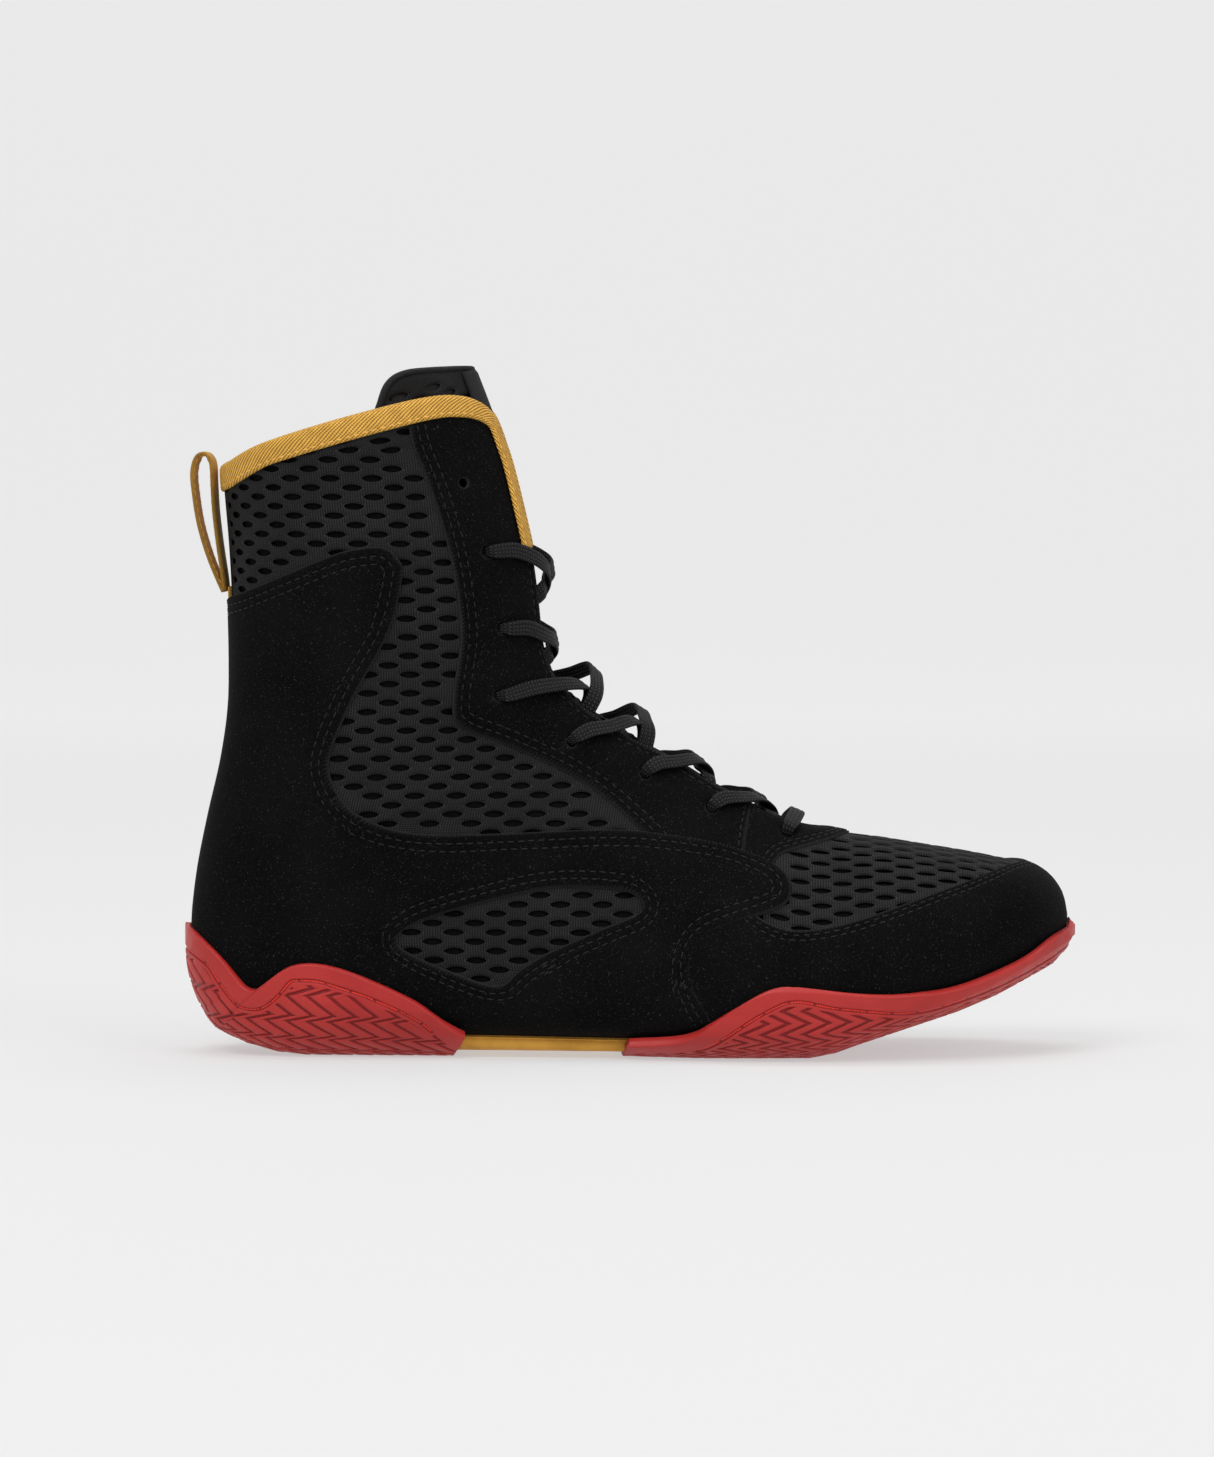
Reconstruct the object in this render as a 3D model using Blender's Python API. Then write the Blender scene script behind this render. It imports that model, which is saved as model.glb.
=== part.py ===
"""Boxing boot for the right foot, EU 42: split rubber cup sole, mesh and suede upper, laced throat.

Frame: +X points to the toe, -Y to the outer (lateral) side of the foot, +Z up. The origin is the
middle of the footprint, on the ground. All lengths below are millimetres, and MM turns them into metres.

The upper is one loft, skin(), whose sections run from the front ridge to the back of the shaft, or to
the bottom of the foot. Every layer of the upper is a thick patch of that loft, and a prism cut to
the panel's side outline trims it.
"""

import math

import bmesh
import bpy
from mathutils import Matrix, Vector

MM = 0.001
GAP = 0.4  # clearance between neighbours
LATERAL, MEDIAL = -1, 1
SIDES = (("lateral", LATERAL), ("medial", MEDIAL))

# Offsets of the layers from the skin: (inner face, outer face)
SUEDE = (0.46, 1.5)
MESH = (-1.2, 0.0)
STIFFENER = (-3.0, -1.7)
LINING = (-4.4, -3.5)
BOARD = (-6.2, -4.8)
SOCKLINER = (-9.8, -6.6)
MIDSOLE = (2.0, 3.4)
RUBBER = (2.0, 3.7)  # on its walls
RUBBER_UNDER_FOOT = (3.8, 5.4)  # where the midsole lies inside it

SEAM_GAP = 0.006  # half the angle between the two sides' panels at the back and under the foot

# Every patch shares these rows and columns, so that the facets of neighbouring layers stay parallel.
ROWS = (0, 2, 4, *range(6, 28))
COLUMN = math.radians(15)
SLIVER = 0.08  # a column nearer than this angle to a panel's edge is moved onto it
UNDER_FOOT = math.radians(60)  # half the turn that the plates under the foot span
UNDER_FOOT_START = 11.0  # section number

# Sections of the loft: front x, z; back x, z; half width; centre y; place of the widest point from
# front (0) to back (1); roundness of the front and of the back half (2 is an ellipse, more is squarer).
SECTIONS = (
    (-47.3, 221.2, -133.1, 195.5, 37.0, 0.0, 0.50, 2.1, 2.1),
    (-42.1, 207.4, -131.8, 180.0, 37.0, 0.0, 0.50, 2.1, 2.1),
    (-37.3, 192.3, -130.5, 164.0, 37.0, 0.0, 0.50, 2.1, 2.1),
    (-33.1, 176.2, -129.6, 146.3, 36.5, 0.0, 0.50, 2.1, 2.1),
    (-29.6, 160.8, -129.2, 128.6, 36.0, 0.0, 0.50, 2.1, 2.1),
    (-27.6, 146.3, -129.6, 111.9, 35.0, 0.0, 0.50, 2.1, 2.1),
    (-26.4, 135.0, -132.1, 94.8, 34.5, 0.0, 0.50, 2.1, 2.2),
    (-24.1, 128.0, -136.3, 76.5, 34.3, 0.0, 0.52, 2.1, 2.2),
    (-20.3, 122.2, -139.9, 57.9, 34.0, 0.0, 0.54, 2.0, 2.3),
    (-15.1, 117.7, -141.5, 40.2, 34.0, 0.0, 0.57, 2.0, 2.4),
    (-10.0, 113.8, -139.9, 24.1, 33.5, 0.0, 0.60, 2.0, 2.5),
    (-4.5, 110.3, -131.5, 12.2, 33.0, 0.0, 0.62, 2.0, 2.7),
    (1.6, 106.7, -116.1, 7.4, 33.0, 0.0, 0.64, 1.9, 3.0),
    (9.3, 101.9, -95.2, 7.1, 33.5, -0.3, 0.66, 1.9, 3.2),
    (19.0, 95.8, -71.1, 7.1, 34.0, -0.8, 0.67, 1.9, 3.3),
    (30.2, 88.1, -45.3, 7.1, 35.0, -1.5, 0.68, 1.9, 3.4),
    (42.1, 81.0, -19.6, 7.1, 37.3, -2.0, 0.70, 1.9, 3.5),
    (55.0, 74.9, 6.1, 7.1, 41.0, -2.0, 0.72, 1.9, 3.6),
    (68.8, 71.7, 31.8, 7.1, 45.0, -1.5, 0.72, 1.9, 3.6),
    (82.6, 69.8, 55.9, 8.0, 47.6, -0.3, 0.72, 2.0, 3.5),
    (96.1, 67.5, 76.8, 11.6, 47.3, 0.9, 0.71, 2.1, 3.4),
    (109.0, 65.3, 95.2, 16.7, 45.0, 2.4, 0.69, 2.2, 3.2),
    (120.2, 63.0, 110.6, 22.5, 40.0, 4.2, 0.66, 2.2, 3.0),
    (129.2, 60.8, 123.5, 28.3, 32.5, 5.6, 0.62, 2.2, 2.7),
    (135.7, 57.2, 132.5, 32.8, 24.0, 6.5, 0.58, 2.1, 2.4),
    (139.9, 51.8, 138.2, 36.3, 14.5, 7.0, 0.55, 2.1, 2.2),
    (141.5, 46.0, 141.1, 39.2, 6.0, 7.2, 0.52, 2.0, 2.0),
    (141.8, 42.8, 141.8, 42.8, 0.0, 7.2, 0.50, 2.0, 2.0),
)
TOE = len(SECTIONS) - 1
TOE_DIRECTION = Vector((0.995, 0.0, 0.1))

# Side outlines, as (x, z)
COLLAR = (
    (-131.6, 190.3), (-120.6, 196.2), (-106.0, 201.0), (-85.0, 206.9), (-65.3, 211.7),
    (-56.0, 212.2), (-50.3, 210.8), (-46.4, 207.8), (-44.0, 203.5), (-41.9, 197.5),
)
QUARTER_EDGE = (
    (-150.0, 145.5), (-133.7, 147.2), (-122.5, 151.1), (-96.8, 162.0), (-87.1, 164.6), (-79.1, 164.9),
    (-74.6, 161.2), (-73.3, 155.9), (-77.5, 138.2), (-88.7, 117.3), (-96.1, 99.7), (-96.3, 90.5),
    (-88.7, 79.7), (-71.1, 73.3), (-42.1, 72.7), (-3.5, 73.6), (24.4, 70.1), (38.9, 65.9),
    (48.5, 60.8), (51.4, 55.0), (47.9, 49.5), (32.1, 44.0), (22.8, 39.6), (19.0, 31.5),
    (21.3, 22.0), (27.5, 12.0),
)
LOBE_START = 18  # index in QUARTER_EDGE of the front lobe, which borders the toe cap
WINDOW = (
    (-75.2, 40.0), (-68.2, 44.7), (-46.3, 51.1), (-26.0, 55.3), (-6.1, 55.0), (2.0, 52.6), (3.2, 47.6),
    (-9.0, 42.4), (-26.0, 35.0), (-35.6, 29.2), (-42.8, 24.1), (-57.9, 28.6), (-73.3, 35.7),
)
EYESTAY_REAR = (
    (-71.9, 206.0), (-69.8, 197.4), (-64.3, 183.6), (-59.2, 166.9), (-55.9, 150.1), (-54.7, 135.0),
    (-57.2, 116.4), (-55.0, 107.4), (-38.3, 100.3), (-15.1, 88.7), (1.9, 74.9),
)
THROAT_SEAM = ((39.2, 83.0), (35.7, 67.4))
THROAT_PIECE_LOW = ((44.4, 65.3), (52.4, 65.9), (61.4, 69.1), (69.8, 72.7), (74.0, 76.0))
TOE_CAP_TOP = ((42.0, 46.4), (52.7, 41.8), (69.4, 44.7), (98.7, 54.0), (128.0, 62.4), (140.0, 66.5))
HEEL_RIM = (
    (-150.0, 42.0), (-142.7, 41.0), (-135.7, 35.0), (-130.5, 29.9), (-125.6, 23.4), (-120.2, 21.9),
    (-115.2, 26.5), (-110.0, 30.5), (-100.6, 31.2), (-87.8, 27.6), (-68.8, 19.0), (-60.4, 12.8),
    (-52.9, 7.9),
)
FOREFOOT_RIM = (
    (-1.0, 6.4), (13.2, 7.4), (21.5, 10.0), (36.0, 19.6), (43.4, 23.8), (50.8, 25.1), (73.6, 22.5),
    (89.0, 21.9), (105.1, 23.8), (126.0, 31.5), (140.0, 39.4), (150.0, 41.2),
)
# Underside of the outsole, as (x, z): flat under the heel and under the ball of the foot
GROUND = (
    (-144.7, 24.0), (-143.4, 19.0), (-140.8, 14.0), (-135.0, 8.5), (-124.7, 3.8), (-114.5, 1.0),
    (-105.0, 0.0), (-58.0, 0.0), (-42.0, 0.6), (-6.0, 0.6), (22.0, 0.0), (58.0, 0.0), (66.0, 1.6),
    (73.6, 4.4), (89.4, 9.6), (105.5, 14.5), (118.3, 19.3), (128.3, 24.1), (137.9, 28.9), (145.5, 38.0),
)
HEEL_POD_FRONT, FOREFOOT_POD_REAR = -53.0, -1.0
ARCH_BOTTOM = 2.0
# Vertical joins between the rear and the front pieces of a layer, hidden under the suede
REAR_PIECE_FRONT = ((58.5, 95.0), (38.6, 72.0), (22.0, 50.0), (22.0, 14.0))

# Half the gap between the eyestays at the section numbers given
THROAT = ((0.0, 13.5), (4.0, 13.0), (9.0, 11.0), (13.0, 9.0), (17.0, 7.5), (18.0, 7.5))
THROAT_END_X = 54.0
THROAT_END_RADIUS = 7.5
EYELETS = (
    (50.2, 71.7), (26.0, 80.1), (4.5, 91.3), (-19.3, 102.2), (-42.4, 117.0), (-41.5, 138.6),
    (-46.3, 163.3), (-54.0, 185.5),
)
# Distance from the throat's edge, across the boot, at which the mesh starts under the eyestay
MESH_START = ((0.0, 19.0), (2.0, 18.6), (5.0, 17.4), (7.0, 17.2), (9.3, 12.8), (12.3, 11.3), (19.0, 11.6))
BINDING_INSET = 1.0  # from the bound edge down to the edge of the layers
EYELET_RADIUS = 2.8
LACED_ROWS = 7
LACE_WIDTH, LACE_THICKNESS = 5.2, 1.2
LACE_WIDTH_IN_EYELET = 2.6

LOOP_OUTSIDE = (
    (-132.6, 150.0), (-136.5, 161.0), (-139.9, 170.7), (-142.1, 181.0), (-142.7, 188.5), (-141.7, 193.4),
    (-139.0, 195.5), (-136.4, 194.6), (-135.2, 191.0), (-134.9, 184.5), (-134.5, 176.0), (-133.3, 165.0),
    (-130.4, 150.0),
)
LOOP_TAPE = 1.2
LOOP_WIDTH = 11.0

COLOURS = {
    "suede": ((0.006, 0.006, 0.006), 0.95),
    "mesh": ((0.022, 0.022, 0.024), 0.8),
    "lining": ((0.012, 0.012, 0.012), 0.9),
    "stiffener": ((0.35, 0.33, 0.3), 0.8),
    "foam": ((0.6, 0.6, 0.58), 0.9),
    "rubber": ((0.46, 0.035, 0.03), 0.55),
    "gold_foam": ((0.66, 0.33, 0.05), 0.6),
    "gold_tape": ((0.68, 0.36, 0.06), 0.75),
    "board": ((0.5, 0.45, 0.36), 0.9),
    "lace": ((0.009, 0.009, 0.009), 0.85),
    "label": ((0.01, 0.01, 0.01), 0.5),
}


# --- curves and the loft -------------------------------------------------------------------------


def between(before, start, end, after, part):
    """Catmull-Rom between start and end."""
    return 0.5 * (
        2 * start
        + (end - before) * part
        + (2 * before - 5 * start + 4 * end - after) * part**2
        + (3 * start - before - 3 * end + after) * part**3
    )


def section(t):
    """The nine numbers of the section at t, smooth between the listed ones."""
    t = min(max(t, 0.0), TOE)
    low = min(int(t), TOE - 1)
    rows = [SECTIONS[min(max(low + step, 0), TOE)] for step in (-1, 0, 1, 2)]
    return [between(*column, t - low) for column in zip(*rows)]


def power(base, exponent):
    return max(base, 0.0) ** exponent


def on_skin(t, angle):
    """Point of the loft: angle 0 is the front ridge, pi the back or the bottom, positive is medial."""
    front_x, front_z, back_x, back_z, half, centre, widest, front_round, back_round = section(t)
    sine, cosine = math.sin(angle), math.cos(angle)
    if cosine >= 0:
        along = widest * (1 - power(cosine, 2 / front_round))
        out = power(abs(sine), 2 / front_round)
    else:
        along = widest + (1 - widest) * power(-cosine, 2 / back_round)
        out = power(abs(sine), 2 / back_round)
    y = centre + math.copysign(half * out, sine)
    return Vector((front_x + along * (back_x - front_x), y, front_z + along * (back_z - front_z)))


def skin_normal(t, angle):
    if t > TOE - 0.02:
        return TOE_DIRECTION
    step_t, step_angle = 0.02, 0.01
    along = on_skin(t + step_t, angle) - on_skin(t - step_t, angle)
    across = on_skin(t, angle + step_angle) - on_skin(t, angle - step_angle)
    return along.cross(across).normalized()


def skin(t, angle, offset=0.0):
    return on_skin(t, angle) + offset * skin_normal(t, angle)


def locate(x, z, side):
    """The (t, angle) at which the loft passes through x, z on one side."""
    point = Vector((x, z))

    def miss(t):
        front_x, front_z, back_x, back_z = section(t)[:4]
        chord = Vector((back_x - front_x, back_z - front_z))
        return chord.cross(point - Vector((front_x, front_z)))

    low, high = 0.0, TOE - 0.01
    sign = 1 if miss(low) > 0 else -1
    for _ in range(40):
        middle = (low + high) / 2
        if sign * miss(middle) > 0:
            low = middle
        else:
            high = middle
    front_x, front_z, back_x, back_z, _, _, widest, front_round, back_round = section(low)
    chord = Vector((back_x - front_x, back_z - front_z))
    along = (point - Vector((front_x, front_z))).dot(chord) / chord.length_squared
    along = min(max(along, 0.0), 1.0)
    if along < widest:
        angle = math.acos(power(1 - along / widest, front_round / 2))
    else:
        angle = math.pi - math.acos(power((along - widest) / (1 - widest), back_round / 2))
    return low, side * angle


def lookup(rows, at):
    """Straight-line value at a place in rows of (place, value)."""
    if at <= rows[0][0]:
        return rows[0][1]
    for (start, first), (end, last) in zip(rows, rows[1:]):
        if at <= end:
            return first + (last - first) * (at - start) / (end - start)
    return rows[-1][1]


def throat_angle(t, extra=0.0):
    """Angle at which the skin at t is half the throat's gap, plus extra, from the ridge."""
    half, front_round = section(t)[4], section(t)[7]
    share = (lookup(THROAT, t) + extra) / half
    return math.asin(power(share, front_round / 2))


def smoothed(points, steps=3):
    """Catmull-Rom through the points, with steps pieces in each span."""
    result = []
    for i in range(len(points) - 1):
        four = [Vector(points[min(max(i + k, 0), len(points) - 1)]) for k in (-1, 0, 1, 2)]
        result += [between(*four, step / steps) for step in range(steps)]
    return result + [Vector(points[-1])]


def moved(points, distance):
    """The open outline moved sideways, to its left for a positive distance."""
    result = []
    for i, point in enumerate(points):
        run = Vector(points[min(i + 1, len(points) - 1)]) - Vector(points[max(i - 1, 0)])
        left = Vector((-run.y, run.x)).normalized()
        result.append(Vector(point) + left * distance)
    return result


# --- scene helpers -------------------------------------------------------------------------------


def clear_scene():
    for old in list(bpy.data.objects):
        bpy.data.objects.remove(old, do_unlink=True)


def make_collection(name):
    collection = bpy.data.collections.new(name)
    bpy.context.scene.collection.children.link(collection)
    return collection


def make_material(name):
    colour, roughness = COLOURS[name]
    material = bpy.data.materials.new(name)
    material.use_nodes = True
    shader = material.node_tree.nodes["Principled BSDF"]
    shader.inputs["Base Color"].default_value = (*colour, 1.0)
    shader.inputs["Roughness"].default_value = roughness
    shader.inputs["Metallic"].default_value = 0.0
    return material


def add_object(name, mesh, material=None):
    """Put a mesh in the scene: a part when it has a material, else a cutter."""
    item = bpy.data.objects.new(name, mesh)
    if material:
        PARTS.objects.link(item)
        mesh.materials.append(MATERIALS[material])
        mesh.shade_smooth()
        mesh.set_sharp_from_angle(angle=math.radians(35))
    else:
        CUTTERS.objects.link(item)
        item.hide_render = True
        item.display_type = "WIRE"
    return item


def finished_mesh(name, bm):
    bmesh.ops.remove_doubles(bm, verts=bm.verts, dist=0.001 * MM)
    bmesh.ops.recalc_face_normals(bm, faces=bm.faces)
    mesh = bpy.data.meshes.new(name)
    bm.to_mesh(mesh)
    bm.free()
    return mesh


def prism(name, outline):
    """Cutter: a closed side outline of (x, z), drawn as a flat curve and extruded across the boot."""
    curve = bpy.data.curves.new(name, "CURVE")
    curve.dimensions = "2D"
    curve.fill_mode = "BOTH"
    curve.extrude = 80 * MM
    spline = curve.splines.new("POLY")
    spline.points.add(len(outline) - 1)
    for point, (x, z) in zip(spline.points, outline):
        point.co = (x * MM, z * MM, 0.0, 1.0)
    spline.use_cyclic_u = True
    return mesh_from_curve(name, curve, Matrix.Rotation(math.pi / 2, 4, "X"))


def mesh_from_curve(name, curve, turn, material=None):
    """The curve as a welded mesh object, turned into place."""
    draft = bpy.data.objects.new(name + "_curve", curve)
    bpy.context.scene.collection.objects.link(draft)
    bpy.context.view_layer.update()
    graph = bpy.context.evaluated_depsgraph_get()
    mesh = bpy.data.meshes.new_from_object(draft.evaluated_get(graph))
    bpy.data.objects.remove(draft, do_unlink=True)
    bm = bmesh.new()
    bm.from_mesh(mesh)
    bm.transform(turn)
    bpy.data.meshes.remove(mesh)
    return add_object(name, finished_mesh(name, bm), material)


def cut(item, cutter, operation, solver="EXACT"):
    modifier = item.modifiers.new(f"{operation.lower()}_{cutter.name}", "BOOLEAN")
    modifier.operation = operation
    modifier.solver = solver
    modifier.object = cutter


def closed_grid(name, outer, inner, material):
    """Solid between two equal grids of points: rows of columns, outer face and inner face."""
    bm = bmesh.new()
    grids = [[[bm.verts.new(p * MM) for p in row] for row in grid] for grid in (outer, inner)]
    rows, columns = len(outer), len(outer[0])
    for grid in grids:
        for i in range(rows - 1):
            for j in range(columns - 1):
                bm.faces.new((grid[i][j], grid[i + 1][j], grid[i + 1][j + 1], grid[i][j + 1]))
    top, low = grids
    for i in range(rows - 1):
        for j in (0, columns - 1):
            bm.faces.new((top[i][j], top[i + 1][j], low[i + 1][j], low[i][j]))
    for i in (0, rows - 1):
        if (outer[i][0] - outer[i][columns // 2]).length < 0.001:
            continue  # the row is the tip of the toe, one point
        for j in range(columns - 1):
            bm.faces.new((top[i][j], top[i][j + 1], low[i][j + 1], low[i][j]))
    return add_object(name, finished_mesh(name, bm), material)


def swept(name, rings, material):
    """Solid through closed rings of equal length, with flat ends."""
    bm = bmesh.new()
    loops = [[bm.verts.new(point * MM) for point in ring] for ring in rings]
    count = len(rings[0])
    for start, end in zip(loops, loops[1:]):
        for i in range(count):
            j = (i + 1) % count
            bm.faces.new((start[i], start[j], end[j], end[i]))
    bm.faces.new(loops[0])
    bm.faces.new(loops[-1])
    return add_object(name, finished_mesh(name, bm), material)


# --- upper ---------------------------------------------------------------------------------------


def rows_within(span):
    """The shared rows inside the span, with the span's own ends."""
    start, end = span
    return sorted({float(start), *(float(t) for t in ROWS if start < t < end), float(end)})


def columns_between(start, end, numbers):
    """Angles of the shared columns, held between start and end. One that is close to an end lies on it."""
    sign = 1 if end > start else -1
    angles = []
    for number in numbers:
        angle = sign * number * COLUMN
        if sign * (angle - start) < SLIVER:
            angle = start
        elif sign * (end - angle) < SLIVER:
            angle = end
        angles.append(angle)
    return [start, *angles, end]


def patch(name, layer, span, edges, material):
    """Thick patch of the skin, between two angles that edges(t) gives, over a span of sections."""
    rows = rows_within(span)
    ends = [edges(t) for t in rows]
    sign = 1 if ends[0][1] > ends[0][0] else -1
    lowest, highest = min(sign * start for start, _ in ends), max(sign * end for _, end in ends)
    numbers = range(math.ceil(lowest / COLUMN), math.floor(highest / COLUMN) + 1)
    grids = [
        [
            [skin(t, angle, offset) for angle in columns_between(start, end, numbers)]
            for t, (start, end) in zip(rows, ends)
        ]
        for offset in (layer[1], layer[0])
    ]
    return closed_grid(name, *grids, material)


def bottom_edge(rise, start, end):
    """The bottom of the foot from x start to x end, raised."""
    line = [(row[2], row[3] + rise) for row in SECTIONS[11:-1]]
    inside = [point for point in line if min(start, end) < point[0] < max(start, end)]
    inside = [(start, lookup(line, start)), *inside[:: 1 if start < end else -1], (end, lookup(line, end))]
    return inside


def clear_of_throat(points):
    """Outline that goes on outside the front of the boot, from the collar down to the throat's end."""
    return [*points, (-20.0, 190.0), (-5.0, 140.0), (70.0, 100.0)]


def panel_outlines():
    """Every side outline that trims a panel, by name."""
    collar = moved(smoothed(COLLAR, 2), -BINDING_INSET)
    quarter = smoothed(QUARTER_EDGE, 2)
    lobe = smoothed(QUARTER_EDGE[LOBE_START:], 2)
    deep_collar = moved(smoothed(COLLAR, 2), -BINDING_INSET - 2.8)
    deep_top = [(-150.0, 180.5), *deep_collar]
    outlines = {}
    outlines["suede_quarter"] = [*quarter, *bottom_edge(0.3, 27.8, -130.0), (-150.0, 13.0)]
    outlines["window"] = smoothed([*WINDOW, WINDOW[0]], 2)[:-1]
    above_quarter = moved(smoothed(QUARTER_EDGE[14:LOBE_START], 2), GAP)
    eyestay_rear = smoothed(EYESTAY_REAR, 2)
    outlines["eyestay"] = [
        *[p for p in collar if p[0] > EYESTAY_REAR[0][0]],
        (-20.0, 190.0), (-5.0, 140.0), *THROAT_SEAM,
        *[p for p in reversed(above_quarter) if 4.0 < p[0] < 35.0],
        *reversed(eyestay_rear),
    ]
    seam = [(x + GAP, z) for x, z in THROAT_SEAM]
    beside_lobe = [p for p in above_quarter if seam[1][0] < p[0] < 42.0]
    outlines["throat_piece"] = [seam[0], seam[1], *beside_lobe, *smoothed(THROAT_PIECE_LOW), (74.0, 95.0)]
    outlines["toe_cap"] = [
        *smoothed(TOE_CAP_TOP), (160.0, 60.0), (160.0, 44.0), (142.0, 40.0), *bottom_edge(0.3, 140.5, 28.8),
        *reversed([p for p in moved(lobe, GAP) if p[1] < 46.4 and p[0] < 42.0]),
    ]
    outlines["rear_mesh"] = [(-150.0, 184.0), *collar, *clear_of_throat([]), *REAR_PIECE_FRONT, *bottom_edge(1.5, 22.0, -130.0),
                             (-150.0, 14.0)]
    front_rear = [(x + GAP, z) for x, z in REAR_PIECE_FRONT]
    outlines["front_mesh"] = [*front_rear[:3], *bottom_edge(1.5, 22.0 + GAP, 140.5),
                              (160.0, 42.0), (160.0, 95.0)]
    outlines["rear_lining"] = [*deep_top, *clear_of_throat([]), *REAR_PIECE_FRONT, *bottom_edge(4.7, 22.0, -130.0),
                               (-150.0, 17.0)]
    outlines["front_lining"] = [*front_rear[:3], *bottom_edge(4.7, 22.0 + GAP, 138.0),
                                (160.0, 46.0), (160.0, 95.0)]
    wide_rear = moved(eyestay_rear, -5.0)
    outlines["eyestay_backing"] = [
        *[p for p in deep_collar if p[0] > -75.0], (-20.0, 190.0), (-5.0, 140.0), (56.0, 82.0), (40.0, 69.0),
        (12.0, 69.0), *reversed(wide_rear),
    ]
    foam_front = [p for p in moved(eyestay_rear, -5.0 - GAP) if p[1] > 118.0]
    outlines["collar_foam"] = [
        *[p for p in deep_top if p[0] < -78.0], *foam_front, (-96.0, 116.0), (-150.0, 108.0),
    ]
    outlines["heel_counter"] = [
        (-150.0, 92.0), (-112.0, 84.0), (-84.0, 60.0), (-66.0, 30.0),
        *bottom_edge(3.3, -62.0, -130.0), (-150.0, 15.5),
    ]
    outlines["toe_puff"] = [
        (96.0, 21.0), *bottom_edge(3.3, 97.0, 139.0), (160.0, 44.0), (160.0, 80.0), (112.0, 70.0),
        (104.0, 50.0),
    ]
    return outlines


def eyelet_cutter():
    """Pins through every layer at each eyelet, on both sides."""
    bm = bmesh.new()
    for x, z in EYELETS:
        for side in (LATERAL, MEDIAL):
            t, angle = locate(x, z, side)
            turn = skin_normal(t, angle).to_track_quat("Z", "Y").to_matrix().to_4x4()
            place = Matrix.Translation(skin(t, angle, -1.5) * MM)
            bmesh.ops.create_cone(
                bm, cap_ends=True, segments=8, radius1=EYELET_RADIUS * MM, radius2=EYELET_RADIUS * MM,
                depth=9 * MM, matrix=place @ turn,
            )
    return add_object("eyelet_cutter", finished_mesh("eyelet_cutter", bm))


def throat_cutter(name, widening):
    """Upright slot with a round end, for the pieces that bridge the foot of the throat."""
    steps = [math.pi * i / 8 - math.pi / 2 for i in range(9)]
    radius = THROAT_END_RADIUS + widening
    end_x = THROAT_END_X - THROAT_END_RADIUS
    outline = [(end_x + radius * math.cos(a), radius * math.sin(a)) for a in steps]
    outline += [(0.0, radius), (0.0, -radius)]
    curve = bpy.data.curves.new(name, "CURVE")
    curve.dimensions = "2D"
    curve.fill_mode = "BOTH"
    curve.extrude = 60 * MM
    spline = curve.splines.new("POLY")
    spline.points.add(len(outline) - 1)
    centre = section(17.0)[5]
    for point, (x, y) in zip(spline.points, outline):
        point.co = (x * MM, (y + centre) * MM, 0.0, 1.0)
    spline.use_cyclic_u = True
    return mesh_from_curve(name, curve, Matrix.Translation((0, 0, 70 * MM)))


def make_upper():
    outlines = panel_outlines()
    trims = {name: prism("trim_" + name, outline) for name, outline in outlines.items()}
    eyelets = eyelet_cutter()
    slot, wide_slot = throat_cutter("slot", 0.0), throat_cutter("wide_slot", 3.5)

    def panel(name, layer, span, edges, material, trim, *cutters):
        item = patch(name, layer, span, edges, material)
        solver = "MANIFOLD" if material == "lining" else "EXACT"
        cut(item, trims[trim], "INTERSECT", solver)
        for cutter in cutters:
            cut(item, cutter, "DIFFERENCE", solver)

    back_seam = math.pi - SEAM_GAP
    for side_name, side in SIDES:

        def from_throat(extra, last):
            return lambda t: (side * throat_angle(t, extra), side * last)

        def under_eyestay(t):
            return side * throat_angle(t, lookup(MESH_START, t)), side * back_seam

        panel(f"{side_name}_suede_quarter", SUEDE, (2, 20), from_throat(0.0, back_seam), "suede",
              "suede_quarter", trims["window"])
        panel(f"{side_name}_eyestay", SUEDE, (0, 18), from_throat(0.0, 6 * COLUMN), "suede", "eyestay", eyelets)
        panel(f"{side_name}_mesh_quarter", MESH, (0, 19), under_eyestay, "mesh", "rear_mesh")
        panel(f"{side_name}_eyestay_backing", STIFFENER, (0, 18), from_throat(2.0, 7 * COLUMN), "stiffener",
              "eyestay_backing", eyelets)
        panel(f"{side_name}_collar_foam", STIFFENER, (0, 7), lambda t: (side * 3 * COLUMN, side * back_seam),
              "foam", "collar_foam")
        panel(f"{side_name}_lining", LINING, (0, 19), from_throat(3.0, back_seam), "lining", "rear_lining",
              eyelets)

    def over_ridge(half):
        return lambda t: (-half, half)

    whole = over_ridge(math.pi - 0.06)
    panel("throat_piece", SUEDE, (15, 20), over_ridge(5 * COLUMN), "suede", "throat_piece", slot, eyelets)
    panel("vamp_mesh", MESH, (15, TOE), whole, "mesh", "front_mesh", wide_slot, eyelets)
    panel("vamp_lining", LINING, (15, TOE), whole, "lining", "front_lining", wide_slot, eyelets)
    panel("toe_cap", SUEDE, (17, TOE), whole, "suede", "toe_cap")
    panel("toe_puff", STIFFENER, (19, TOE), whole, "stiffener", "toe_puff")
    panel("heel_counter", STIFFENER, (6, 15), lambda t: (math.pi / 2, math.pi * 1.5), "stiffener",
          "heel_counter")


def collar_path():
    """(t, angle) along the bound edge: up one side of the throat, round the collar, down the other."""
    start = locate(-33.0, 168.5, LATERAL)[0]
    rise = [(t, LATERAL * throat_angle(t)) for t in (start, start - 0.8, start - 1.6)]
    corner = [locate(x, z, LATERAL) for x, z in reversed(smoothed(COLLAR, 2)) if x < -41.8][:-1]
    last_t, last_angle = corner[-1]
    back_t = locate(*COLLAR[0], LATERAL)[0]
    shares = (0.3, 0.55, 0.8)
    turn = [
        (last_t + (back_t - last_t) * share, last_angle + (-math.pi - last_angle) * share) for share in shares
    ]
    half = rise + corner + turn
    return half + [(back_t, math.pi)] + [(t, -angle) for t, angle in reversed(half)]


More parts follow.
